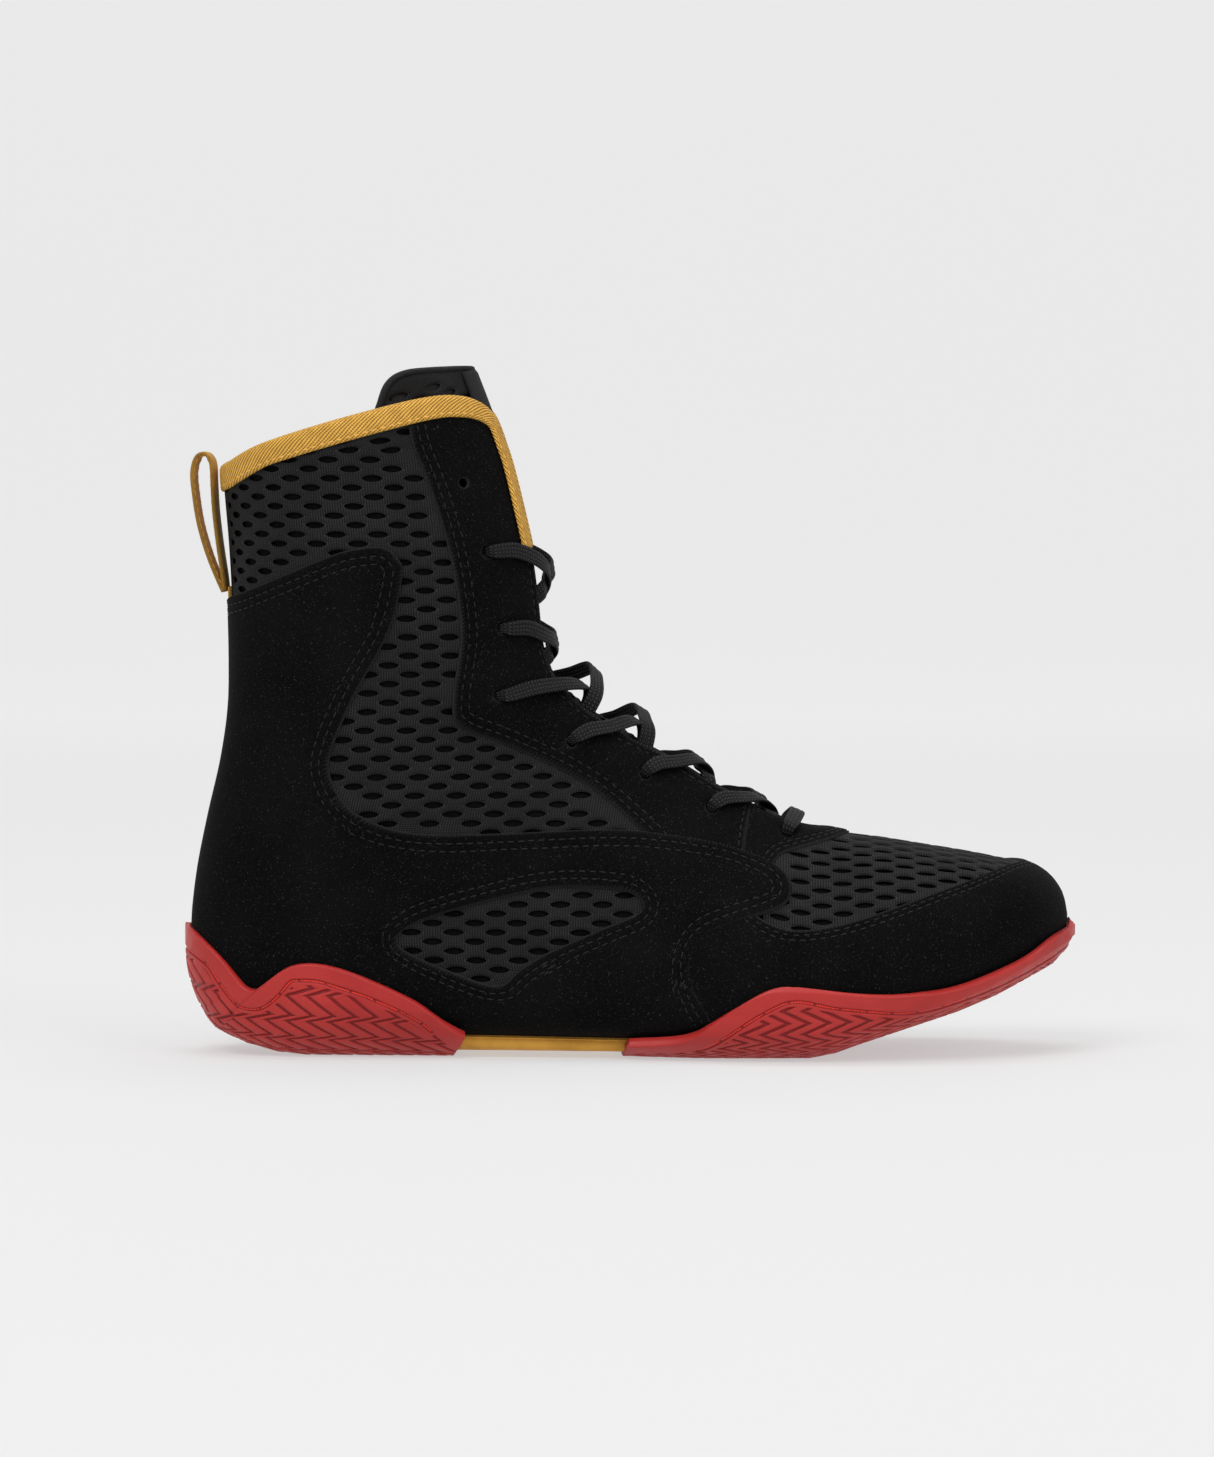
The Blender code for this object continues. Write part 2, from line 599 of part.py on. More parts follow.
def make_collar_binding():
    """U-shaped tape over the edge of the collar: outside leg, fold, inside leg."""
    path = [(t, angle % (2 * math.pi)) for t, angle in collar_path()]
    points = [skin(t, angle) for t, angle in path]
    rings = []
    for i, (t, angle) in enumerate(path):
        out = skin_normal(t, angle)
        run = (points[min(i + 1, len(path) - 1)] - points[max(i - 1, 0)]).normalized()
        into = out.cross(run).normalized()
        on_suede = 2.0 if points[i].x > -80.0 else 0.7
        inside, reach, fold = LINING[0] - 1.3, 6.0, 1.0
        profile = (
            (on_suede, reach), (on_suede, -0.2), (inside, -0.2), (inside, reach),
            (inside - 0.9, reach), (inside - 0.9, 0.4 - fold), (inside + 0.3, -0.2 - fold),
            (on_suede - 0.2, -0.2 - fold), (on_suede + 0.9, 0.4 - fold), (on_suede + 0.9, reach),
        )
        rings.append([points[i] + out * across + into * along for across, along in profile])
    swept("collar_binding", rings, "gold_tape")


# --- tongue --------------------------------------------------------------------------------------

TONGUE_TOP = ((-82.0, 205.0), (-79.7, 209.6), (-78.6, 215.4), (-73.6, 219.9), (-64.0, 221.4),
              (-51.8, 222.0), (-46.0, 220.5), (-35.0, 216.0))
TONGUE_SINK = 8.3  # depth of the tongue's outer face under the skin, at its wings
TONGUE_CROWN = 5.0  # how far its middle rises into the throat
TONGUE_BASE = 17.2  # section number of its sewn end


def tongue_point(t, share, depth):
    """Point under the skin: share runs from -1 to 1 across the tongue, depth into the boot."""
    row = section(t)
    front, back = Vector((row[0], 0.0, row[1])), Vector((row[2], 0.0, row[3]))
    chord = back - front
    reach = lookup(((0.0, 1.36), (5.0, 1.22), (12.0, 1.0), (17.2, 0.8)), t)
    angle = share * reach
    crown = TONGUE_CROWN * math.exp(-((share * reach * row[4] / 9.0) ** 2)) * min((TONGUE_BASE - t) / 3, 1)
    sunk = depth + TONGUE_SINK - crown
    half = row[4] - TONGUE_SINK - depth
    y = row[5] + math.copysign(half * power(abs(math.sin(angle)), 2 / row[7]), angle)
    along = (row[6] * chord.length - sunk) * (1 - power(math.cos(angle), 2 / row[7])) + sunk
    point = front + chord.normalized() * along
    return Vector((point.x, y, point.z))


def tongue_layer(name, thin, deep, shares, span, material, trim=None):
    grids = []
    for depth in (thin, deep):
        grids.append([[tongue_point(t, share, depth) for share in shares] for t in rows_within(span)])
    item = closed_grid(name, grids[0], grids[1], material)
    if trim:
        cut(item, trim, "INTERSECT")
    return item


def make_tongue():
    trim = prism("trim_tongue", [*smoothed(TONGUE_TOP), (90.0, 100.0), (90.0, 30.0), (-100.0, 60.0)])
    wide = [i / 5 - 1 for i in range(11)]
    span = (0, TONGUE_BASE)
    tongue_layer("tongue_cover", 0.0, 1.1, wide, span, "mesh", trim)
    tongue_layer("tongue_foam", 1.4, 4.0, wide, span, "foam", trim)
    tongue_layer("tongue_lining", 4.3, 5.1, wide, span, "lining", trim)
    narrow = [0.2 * (i / 2 - 1) for i in range(5)]
    tongue_layer("tongue_label", -1.2, -0.3, narrow, (0, 3.6), "label", trim)


# --- lace ----------------------------------------------------------------------------------------


def lace_leg(row, side, last):
    """Route from one eyelet to the next lower one opposite, as (point, narrow) pairs."""
    t, angle = locate(*EYELETS[row], side)
    opposite_t, opposite_angle = locate(*EYELETS[row - 1], -side)
    over = 3.4 if side == LATERAL else 4.0
    under = LINING[0] - 1.4
    edge, far_edge = throat_angle(t, 1.5), throat_angle(opposite_t, 3.0)
    crossing = 3.1 if side == LATERAL else 1.2
    route = [
        (skin(t, angle, -1.4), True),
        (skin(t, angle * 0.97, over - 0.2), True),
        (skin(t + 0.05, (angle + side * edge) / 2, over + 0.2), False),
        (skin(t + 0.25 * (opposite_t - t), side * edge, over), False),
        (skin(t + 0.5 * (opposite_t - t), 0.0, crossing), False),
        (skin(t + 0.75 * (opposite_t - t), -side * far_edge * 0.62, under * 0.55), False),
        (skin(t + 0.9 * (opposite_t - t), -side * far_edge * 1.1, under), False),
        (skin(opposite_t, opposite_angle * 0.97, under - 0.1), True),
    ]
    if last:
        route.append((skin(opposite_t, opposite_angle, -1.4), True))
    return route


def lace_half(first_side):
    """From the top eyelet of one side down to the lowest row."""
    t, angle = locate(*EYELETS[LACED_ROWS - 1], first_side)
    tail = LINING[0] - 1.4
    route = [(skin(t - 0.4, angle * 1.5, tail), False), (skin(t, angle * 1.02, tail), True)]
    side = first_side
    for row in range(LACED_ROWS - 1, 0, -1):
        route += lace_leg(row, side, row == 1)
        side = -side
    return route


def make_lace():
    """One flat lace: down from the seventh row on each side, joined by a bar over the lowest row."""
    down, up = lace_half(LATERAL), lace_half(MEDIAL)
    bar = []
    for side in (LATERAL, MEDIAL):
        t, angle = locate(*EYELETS[0], side)
        half = [(skin(t, angle * 0.97, 2.9), True), (skin(t, side * throat_angle(t, 1.0), 3.2), False)]
        bar.append(half)
    route = down + bar[0] + [(skin(locate(*EYELETS[0], LATERAL)[0], 0.0, 3.0), False)]
    route += bar[1][::-1] + up[::-1]
    points = [point for point, _ in route]
    loops = []
    for i, (here, narrow) in enumerate(route):
        run = (points[min(i + 1, len(points) - 1)] - points[max(i - 1, 0)]).normalized()
        t = locate(here.x, here.z, MEDIAL)[0]
        down_throat = (on_skin(t + 0.1, 0.0) - on_skin(t - 0.1, 0.0)).normalized()
        wide = (down_throat - run * down_throat.dot(run)).normalized()
        thick = run.cross(wide).normalized() * (LACE_THICKNESS / 2)
        wide = wide * (LACE_WIDTH_IN_EYELET if narrow else LACE_WIDTH) / 2
        loops.append([here + wide + thick, here + wide - thick, here - wide - thick, here - wide + thick])
    swept("lace", loops, "lace")


# --- sole ----------------------------------------------------------------------------------------


def foot_share(t, angle):
    """1 where the skin lies under the foot, 0 on the walls and behind the heel."""
    turn = abs(angle - math.pi)
    across = (UNDER_FOOT + COLUMN - turn) / COLUMN
    along = min((t - UNDER_FOOT_START + 0.5) / 0.5, TOE - 1 - t)
    return min(max(across, 0.0), 1.0) * min(max(along, 0.0), 1.0)


def rubber_offset(face, t, angle):
    wall, under = RUBBER[face], RUBBER_UNDER_FOOT[face]
    return wall + (under - wall) * foot_share(t, angle)


def lowered(point, under, ground, t):
    """The point with the underside of the sole, whose middle is at under, brought down to the ground line."""
    height = max(point.z - under.z, 0.0)
    sink = max(under.z - ground + 1.0, 0.0) * (1 - min(height / 14.0, 1.0)) ** 2
    sink *= min(max((t - 10.0) / 1.5, 0.0), 1.0)
    return Vector((point.x, point.y, max(point.z - sink, min(ground, point.z))))


def rubber_point(t, angle):
    """Outer face of the cup sole."""
    point = skin(t, angle, rubber_offset(1, t, angle))
    under = skin(t, math.pi, rubber_offset(1, t, math.pi))
    return lowered(point, under, lookup(GROUND, point.x), t)


def arch_point(t, angle):
    """Outer face of the arch bridge."""
    offset = RUBBER_UNDER_FOOT[1]
    return lowered(skin(t, angle, offset), skin(t, math.pi, offset), ARCH_BOTTOM, t)


def columns_around_bottom(half):
    return [k * COLUMN for k in range(24) if abs(k * COLUMN - math.pi) < half + 0.01]


def outsole_cup(name, span, rim):
    turns, rows = columns_around_bottom(math.radians(105)), rows_within(span)
    outer = [[rubber_point(t, angle) for angle in turns] for t in rows]
    inner = [[skin(t, angle, rubber_offset(0, t, angle)) for angle in turns] for t in rows]
    cut(closed_grid(name, outer, inner, "rubber"), prism("trim_" + name, rim), "INTERSECT")


def plate(name, layer, span, material):
    """Plate along the bottom of the foot, curved up a little at its sides."""
    turns = columns_around_bottom(UNDER_FOOT)
    grids = [
        [[skin(t, angle, offset) for angle in turns] for t in rows_within(span)]
        for offset in (layer[1], layer[0])
    ]
    closed_grid(name, *grids, material)


def make_arch_bridge():
    turns, rows = columns_around_bottom(UNDER_FOOT), rows_within((12, 20))
    outer = [[arch_point(t, angle) for angle in turns] for t in rows]
    inner = [[skin(t, angle, RUBBER_UNDER_FOOT[0]) for angle in turns] for t in rows]
    start, end = HEEL_POD_FRONT + GAP, FOREFOOT_POD_REAR - GAP
    span = prism("trim_arch", [(start, -5.0), (end, -5.0), (end, 40.0), (start, 40.0)])
    cut(closed_grid("arch_bridge", outer, inner, "gold_foam"), span, "INTERSECT")


def make_sole():
    heel = smoothed(HEEL_RIM, 2)
    outsole_cup("heel_outsole", (8, 15), [*heel, (HEEL_POD_FRONT, -4.0), (-155.0, -4.0)])
    forefoot = smoothed(FOREFOOT_RIM, 2)
    outsole_cup("forefoot_outsole", (15, TOE), [*forefoot, (160.0, -4.0), (FOREFOOT_POD_REAR, -4.0)])
    make_arch_bridge()
    under_foot = (UNDER_FOOT_START, 24)
    plate("midsole", MIDSOLE, under_foot, "gold_foam")
    plate("insole_board", BOARD, under_foot, "board")
    plate("sockliner", SOCKLINER, under_foot, "foam")


# --- pull loop -----------------------------------------------------------------------------------


def make_pull_loop():
    """Tape loop at the back seam: the outline of the folded tape, extruded to the tape's width."""
    outside = smoothed(LOOP_OUTSIDE, 2)
    inside = moved(outside, -LOOP_TAPE)
    curve = bpy.data.curves.new("heel_pull_loop", "CURVE")
    curve.dimensions = "2D"
    curve.fill_mode = "BOTH"
    curve.extrude = LOOP_WIDTH / 2 * MM
    outline = [*outside, *[p for p in reversed(inside) if p[1] > 153.5]]
    spline = curve.splines.new("POLY")
    spline.points.add(len(outline) - 1)
    for point, (x, z) in zip(spline.points, outline):
        point.co = (x * MM, z * MM, 0.0, 1.0)
    spline.use_cyclic_u = True
    mesh_from_curve("heel_pull_loop", curve, Matrix.Rotation(math.pi / 2, 4, "X"), "gold_tape")


clear_scene()
PARTS = make_collection("boxing_boot")
CUTTERS = make_collection("cutters")
MATERIALS = {name: make_material(name) for name in COLOURS}
make_sole()
make_upper()
make_collar_binding()
make_tongue()
make_lace()
make_pull_loop()
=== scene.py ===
"""Looks of the boxing boot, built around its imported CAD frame. Lengths are millimetres until mesh_piece().

Frame: +X points to the toe, -Y to the outer side of the foot, +Z up.
"""

import math

import bpy
import numpy as np
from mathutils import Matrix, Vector
from mathutils.geometry import delaunay_2d_cdt
from mathutils.kdtree import KDTree


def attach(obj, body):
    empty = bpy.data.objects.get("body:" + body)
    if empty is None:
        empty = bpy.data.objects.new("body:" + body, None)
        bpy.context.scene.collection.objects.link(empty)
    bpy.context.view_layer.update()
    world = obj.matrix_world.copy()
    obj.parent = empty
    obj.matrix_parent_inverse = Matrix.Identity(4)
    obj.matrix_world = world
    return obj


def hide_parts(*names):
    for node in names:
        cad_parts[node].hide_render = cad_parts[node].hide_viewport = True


MM = 0.001
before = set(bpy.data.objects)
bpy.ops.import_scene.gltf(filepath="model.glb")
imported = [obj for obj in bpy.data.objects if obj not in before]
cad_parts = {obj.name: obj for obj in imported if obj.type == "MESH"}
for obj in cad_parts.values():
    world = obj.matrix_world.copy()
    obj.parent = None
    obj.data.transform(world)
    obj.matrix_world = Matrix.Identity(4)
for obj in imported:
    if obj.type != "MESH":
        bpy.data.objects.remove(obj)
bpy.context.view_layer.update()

# Sections of the loft: front x, z; back x, z; half width; centre y; place of the widest point from
# front (0) to back (1); roundness of the front and of the back half.
SECTIONS = np.array((
    (-47.3, 221.2, -133.1, 195.5, 37.0, 0.0, 0.50, 2.1, 2.1),
    (-42.1, 207.4, -131.8, 180.0, 37.0, 0.0, 0.50, 2.1, 2.1),
    (-37.3, 192.3, -130.5, 164.0, 37.0, 0.0, 0.50, 2.1, 2.1),
    (-33.1, 176.2, -129.6, 146.3, 36.5, 0.0, 0.50, 2.1, 2.1),
    (-29.6, 160.8, -129.2, 128.6, 36.0, 0.0, 0.50, 2.1, 2.1),
    (-27.6, 146.3, -129.6, 111.9, 35.0, 0.0, 0.50, 2.1, 2.1),
    (-26.4, 135.0, -132.1, 94.8, 34.5, 0.0, 0.50, 2.1, 2.2),
    (-24.1, 128.0, -136.3, 76.5, 34.3, 0.0, 0.52, 2.1, 2.2),
    (-20.3, 122.2, -139.9, 57.9, 34.0, 0.0, 0.54, 2.0, 2.3),
    (-15.1, 117.7, -141.5, 40.2, 34.0, 0.0, 0.57, 2.0, 2.4),
    (-10.0, 113.8, -139.9, 24.1, 33.5, 0.0, 0.60, 2.0, 2.5),
    (-4.5, 110.3, -131.5, 12.2, 33.0, 0.0, 0.62, 2.0, 2.7),
    (1.6, 106.7, -116.1, 7.4, 33.0, 0.0, 0.64, 1.9, 3.0),
    (9.3, 101.9, -95.2, 7.1, 33.5, -0.3, 0.66, 1.9, 3.2),
    (19.0, 95.8, -71.1, 7.1, 34.0, -0.8, 0.67, 1.9, 3.3),
    (30.2, 88.1, -45.3, 7.1, 35.0, -1.5, 0.68, 1.9, 3.4),
    (42.1, 81.0, -19.6, 7.1, 37.3, -2.0, 0.70, 1.9, 3.5),
    (55.0, 74.9, 6.1, 7.1, 41.0, -2.0, 0.72, 1.9, 3.6),
    (68.8, 71.7, 31.8, 7.1, 45.0, -1.5, 0.72, 1.9, 3.6),
    (82.6, 69.8, 55.9, 8.0, 47.6, -0.3, 0.72, 2.0, 3.5),
    (96.1, 67.5, 76.8, 11.6, 47.3, 0.9, 0.71, 2.1, 3.4),
    (109.0, 65.3, 95.2, 16.7, 45.0, 2.4, 0.69, 2.2, 3.2),
    (120.2, 63.0, 110.6, 22.5, 40.0, 4.2, 0.66, 2.2, 3.0),
    (129.2, 60.8, 123.5, 28.3, 32.5, 5.6, 0.62, 2.2, 2.7),
    (135.7, 57.2, 132.5, 32.8, 24.0, 6.5, 0.58, 2.1, 2.4),
    (139.9, 51.8, 138.2, 36.3, 14.5, 7.0, 0.55, 2.1, 2.2),
    (141.5, 46.0, 141.1, 39.2, 6.0, 7.2, 0.52, 2.0, 2.0),
    (141.8, 42.8, 141.8, 42.8, 0.0, 7.2, 0.50, 2.0, 2.0),
))
TOE = len(SECTIONS) - 1
LATERAL, MEDIAL = -1, 1
ABOVE_TOP = -1.5

# Side outlines, as (x, z)
COLLAR = (
    (-131.6, 190.3), (-120.6, 196.2), (-106.0, 201.0), (-85.0, 206.9), (-65.3, 211.7),
    (-56.0, 212.2), (-50.3, 210.8), (-46.4, 207.8), (-44.0, 203.5), (-41.9, 197.5),
)
QUARTER_EDGE = (
    (-133.0, 147.0), (-128.0, 149.0), (-122.5, 151.1), (-96.8, 162.0), (-87.1, 164.6), (-79.1, 164.9),
    (-74.6, 161.2), (-73.3, 155.9), (-77.5, 138.2), (-88.7, 117.3), (-96.1, 99.7), (-96.3, 90.5),
    (-88.7, 79.7), (-71.1, 73.3), (-42.1, 72.7), (-3.5, 73.6), (24.4, 70.1), (38.9, 65.9),
    (48.5, 60.8), (51.4, 55.0), (47.9, 49.5), (32.1, 44.0), (22.8, 39.6), (19.0, 31.5),
    (21.3, 22.0), (27.5, 12.0),
)
LOBE_START = 18
WINDOW = (
    (-75.2, 40.0), (-68.2, 44.7), (-46.3, 51.1), (-26.0, 55.3), (-6.1, 55.0), (2.0, 52.6), (3.2, 47.6),
    (-9.0, 42.4), (-26.0, 35.0), (-35.6, 29.2), (-42.8, 24.1), (-57.9, 28.6), (-73.3, 35.7),
)
EYESTAY_REAR = (
    (-71.9, 208.0), (-69.8, 197.4), (-64.3, 183.6), (-59.2, 166.9), (-55.9, 150.1), (-54.7, 135.0),
    (-57.2, 116.4), (-55.0, 107.4), (-38.3, 100.3), (-15.1, 88.7), (1.9, 74.9), (8.0, 68.5),
)
THROAT_SEAM = ((39.2, 83.0), (37.0, 74.0), (35.7, 64.0))
THROAT_PIECE_LOW = ((44.4, 61.0), (48.0, 65.4), (52.4, 66.9), (61.4, 69.1), (69.8, 71.2), (71.5, 71.3))
TOE_CAP_TOP = ((38.0, 48.5), (44.0, 44.6), (52.7, 42.3), (69.4, 44.7), (98.7, 54.0), (120.0, 60.4), (128.0, 61.3))
HEEL_RIM = (
    (-145.3, 42.0), (-142.7, 40.6), (-135.7, 35.0), (-130.5, 29.9), (-125.6, 23.4), (-120.2, 21.9),
    (-115.2, 26.5), (-110.0, 30.5), (-100.6, 31.2), (-87.8, 27.6), (-68.8, 19.0), (-60.4, 12.8),
    (-53.4, 8.3),
)
FOREFOOT_RIM = (
    (-0.6, 6.4), (13.2, 7.4), (21.5, 10.0), (36.0, 19.6), (43.4, 23.8), (50.8, 25.1), (73.6, 22.5),
    (89.0, 21.9), (105.1, 23.8), (126.0, 31.5), (138.0, 38.6), (145.6, 41.0),
)
HEEL_LINE = (
    (-145.0, 34.4), (-141.1, 32.5), (-136.6, 29.3), (-133.1, 24.1), (-129.2, 19.0), (-126.0, 16.4),
    (-121.5, 15.8), (-117.7, 17.0), (-113.2, 20.9), (-110.0, 24.8), (-107.7, 25.7), (-100.6, 25.4),
    (-94.2, 23.5), (-87.8, 21.5), (-79.7, 18.3), (-72.0, 14.5), (-66.9, 11.3), (-64.3, 9.0),
)
FOREFOOT_LINE = (
    (21.5, 3.2), (25.7, 5.1), (30.2, 8.0), (38.9, 14.1), (46.3, 18.3), (50.5, 19.9), (55.6, 19.9),
    (64.6, 18.0), (73.6, 17.0), (86.2, 15.8), (94.5, 16.4), (102.9, 18.3), (115.4, 22.2), (126.0, 26.4),
    (136.3, 31.5), (145.0, 36.7),
)
GROUND = (
    (-144.7, 24.0), (-143.4, 19.0), (-140.8, 14.0), (-135.0, 8.5), (-124.7, 3.8), (-114.5, 1.0),
    (-105.0, 0.0), (-58.0, 0.0), (-42.0, 0.6), (-6.0, 0.6), (22.0, 0.0), (58.0, 0.0), (66.0, 1.6),
    (73.6, 4.4), (89.4, 9.6), (105.5, 14.5), (118.3, 19.3), (128.3, 24.1), (137.9, 28.9), (145.5, 38.0),
)
HEEL_POD_FRONT, FOREFOOT_POD_REAR = -53.0, -1.0
ARCH_BOTTOM = 2.0

THROAT = ((0.0, 13.5), (4.0, 13.0), (9.0, 11.0), (13.0, 9.0), (17.0, 7.5), (18.0, 7.5))
EYELETS = (
    (50.2, 71.7), (26.0, 80.1), (4.5, 91.3), (-19.3, 102.2), (-42.4, 117.0), (-41.5, 138.6),
    (-46.3, 163.3), (-54.0, 185.5),
)
TONGUE_TOP = (
    (-82.0, 205.0), (-79.7, 209.6), (-78.6, 215.4), (-73.6, 219.9), (-64.0, 221.4),
    (-51.8, 222.0), (-46.0, 220.5), (-35.0, 216.0),
)
LOOP_LINE = (
    (-132.0, 150.0), (-133.8, 154.0), (-137.0, 162.0), (-139.9, 172.0), (-141.5, 182.0), (-142.0, 188.5),
    (-141.0, 193.0), (-139.0, 194.9), (-136.9, 194.0), (-135.7, 191.0), (-135.4, 184.5), (-134.9, 176.0),
    (-133.6, 165.0), (-132.1, 155.0), (-131.6, 150.2),
)

# Outer faces of the layers, from the skin
LEATHER, QUARTER = 1.15, 1.75


# --- curves and the loft -------------------------------------------------------------------------


def unit(rows):
    """The rows, each scaled to length one."""
    return rows / np.linalg.norm(rows, axis=1)[:, None]


def arc_length(points):
    """Distance along the polyline to each of its points."""
    return np.concatenate([[0], np.cumsum(np.linalg.norm(np.diff(points, axis=0), axis=1))])


def read_at(at, places, table):
    """The table's columns, known at places, read at other ones."""
    return np.stack([np.interp(at, places, column) for column in table.T], axis=1)


def relaxed(values, times):
    """Evens the values out between neighbours; both ends stay."""
    for _ in range(times):
        values[1:-1] = (values[:-2] + values[1:-1] * 2 + values[2:]) / 4
    return values


def catmull_rom(before, start, end, after, part):
    return 0.5 * (
        2 * start + (end - before) * part + (2 * before - 5 * start + 4 * end - after) * part**2
        + (3 * start - before - 3 * end + after) * part**3
    )


def section(t):
    """The nine numbers of the sections at t, one row for each."""
    wanted = np.asarray(t, float)
    t = np.clip(wanted, 0.0, TOE)
    low = np.minimum(t.astype(int), TOE - 1)
    part = (t - low)[:, None]
    rows = catmull_rom(*(SECTIONS[np.clip(low + step, 0, TOE)] for step in (-1, 0, 1, 2)), part)
    # straight on above the first section
    return rows + np.minimum(wanted, 0.0)[:, None] * (SECTIONS[1] - SECTIONS[0])


def on_skin(t, angle):
    """Points of the loft: angle 0 is the front ridge, pi the back or the bottom, positive is medial."""
    row = section(t)
    front, back = row[:, 0:2], row[:, 2:4]
    half, centre, widest, front_round, back_round = row[:, 4:].T
    sine, cosine = np.sin(angle), np.cos(angle)
    ahead = cosine >= 0
    exponent = 2 / np.where(ahead, front_round, back_round)
    turned = np.abs(cosine) ** exponent
    along = np.where(ahead, widest * (1 - turned), widest + (1 - widest) * turned)
    y = centre + np.sign(sine) * half * np.abs(sine) ** exponent
    place = front + along[:, None] * (back - front)
    return np.stack([place[:, 0], y, place[:, 1]], axis=1)


def normals(t, angle):
    t = np.clip(t, ABOVE_TOP + 0.1, TOE - 0.06)
    along = on_skin(t + 0.02, angle) - on_skin(t - 0.02, angle)
    across = on_skin(t, angle + 0.01) - on_skin(t, angle - 0.01)
    return unit(np.cross(along, across))


def skin(t, angle, offset=0.0):
    t, angle = np.broadcast_arrays(np.atleast_1d(np.asarray(t, float)), np.asarray(angle, float))
    offset = np.broadcast_to(offset, t.shape)
    return on_skin(t, angle) + normals(t, angle) * offset[:, None]


def locate(x, z, side):
    """The (t, angle) at which the loft passes through each x, z on one side."""
    x, z = np.atleast_1d(np.asarray(x, float)), np.atleast_1d(np.asarray(z, float))
    low, high = np.full(x.shape, ABOVE_TOP), np.full(x.shape, TOE - 0.01)

    def miss(t):
        row = section(t)
        run = row[:, 2:4] - row[:, 0:2]
        return run[:, 0] * (z - row[:, 1]) - run[:, 1] * (x - row[:, 0])

    sign = np.where(miss(high) < 0, 1, -1)
    for _ in range(36):
        middle = (low + high) / 2
        ahead = sign * miss(middle) > 0
        low, high = np.where(ahead, middle, low), np.where(ahead, high, middle)
    row = section(low)
    run = row[:, 2:4] - row[:, 0:2]
    along = ((x - row[:, 0]) * run[:, 0] + (z - row[:, 1]) * run[:, 1]) / (run**2).sum(1)
    along = np.clip(along, 0, 1)
    widest, front_round, back_round = row[:, 6], row[:, 7], row[:, 8]
    front = np.arccos(np.clip(1 - along / widest, 0, 1) ** (front_round / 2))
    back = math.pi - np.arccos(np.clip((along - widest) / (1 - widest), 0, 1) ** (back_round / 2))
    return low, side * np.where(along < widest, front, back)


def lookup(rows, at):
    places, values = zip(*rows)
    return np.interp(at, places, values)


def throat_angle(t, extra=0.0):
    """Angle at which the skin at t is half the throat's gap, plus extra, from the ridge."""
    row = section(np.atleast_1d(t))
    share = (lookup(THROAT, t) + extra) / row[:, 4]
    return np.arcsin(np.clip(share, 0, 0.99) ** (row[:, 7] / 2))


def smoothed(points, steps=4):
    """Catmull-Rom through the points, with steps pieces in each span."""
    points = np.asarray(points, float)
    count = len(points)
    result = []
    for i in range(count - 1):
        near = [points[min(max(i + k, 0), count - 1)] for k in (-1, 0, 1, 2)]
        result += [catmull_rom(*near, part) for part in np.arange(steps) / steps]
    return np.array(result + [points[-1]])


def spaced(points, step, closed=False):
    """The polyline, resampled at about equal steps."""
    points = np.asarray(points, float)
    if closed:
        points = np.vstack([points, points[:1]])
    runs = arc_length(points)
    count = max(int(round(runs[-1] / step)), 2)
    result = read_at(np.linspace(0, runs[-1], count + 1), runs, points)
    return result[:-1] if closed else result


def inside(points, polygon):
    """Which 2-D points lie in the polygon."""
    x, y = points[:, 0], points[:, 1]
    result = np.zeros(len(points), bool)
    ends = np.roll(polygon, -1, axis=0)
    for (x0, y0), (x1, y1) in zip(polygon, ends):
        if y0 != y1:
            result ^= ((y0 > y) != (y1 > y)) & (x < (x1 - x0) * (y - y0) / (y1 - y0) + x0)
    return result


# --- meshes --------------------------------------------------------------------------------------


def placed(name, data):
    """A new object in the scene."""
    item = bpy.data.objects.new(name, data)
    bpy.context.scene.collection.objects.link(item)
    return item


def mesh_piece(name, points, faces, material, cloth=None, mark=None, body="boot", nodes=(), slot=None):
    """A piece from points in millimetres. cloth holds coordinates for weaves, mark a number for the colour: a painted
    highlight along the cut edges of suede, the place along the line on rubber.
    """
    mesh = bpy.data.meshes.new(name)
    mesh.from_pydata((np.asarray(points) * MM).tolist(), [], [tuple(map(int, face)) for face in faces])
    if cloth is not None:
        layer = mesh.attributes.new("cloth", "FLOAT_VECTOR", "POINT")
        flat = np.zeros((len(points), 3))
        flat[:, : cloth.shape[1]] = cloth
        layer.data.foreach_set("vector", flat.ravel())
    if mark is not None:
        layer = mesh.attributes.new("mark", "FLOAT", "POINT")
        layer.data.foreach_set("value", np.asarray(mark, float))
    mesh.materials.append(material)
    mesh.shade_smooth()
    piece = placed(name, mesh)
    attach(piece, body)
    if nodes:
        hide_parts(*nodes)
    slot or material.name.split(".")[0]
    return piece


def thickened(points, faces, inner):
    """Closes a sheet of triangles with a second face of points and a rim."""
    faces = np.asarray(faces)
    count = len(points)
    edges = np.concatenate([faces[:, [0, 1]], faces[:, [1, 2]], faces[:, [2, 0]]])
    key = np.sort(edges, axis=1)
    _, index, tally = np.unique(key, axis=0, return_index=True, return_counts=True)
    rim = edges[index[tally == 1]]
    walls = np.concatenate([
        np.stack([rim[:, 1], rim[:, 0], rim[:, 0] + count], axis=1),
        np.stack([rim[:, 1], rim[:, 0] + count, rim[:, 1] + count], axis=1),
    ])
    return np.vstack([points, inner]), np.vstack([faces, faces[:, ::-1] + count, walls])


def compact(points, faces):
    """Leaves out the points that no face uses."""
    used, faces = np.unique(faces, return_inverse=True)
    return points[used], faces.reshape(-1, 3)


def grid_faces(rows, columns, keep=None):
    """Triangles of a grid of points, or of its cells with all four corners in keep."""
    first = (np.arange(rows - 1)[:, None] * columns + np.arange(columns - 1)).ravel()
    if keep is not None:
        first = first[keep[first] & keep[first + 1] & keep[first + columns] & keep[first + columns + 1]]
    return np.concatenate([
        np.stack([first, first + columns, first + columns + 1], axis=1),
        np.stack([first, first + columns + 1, first + 1], axis=1),
    ])


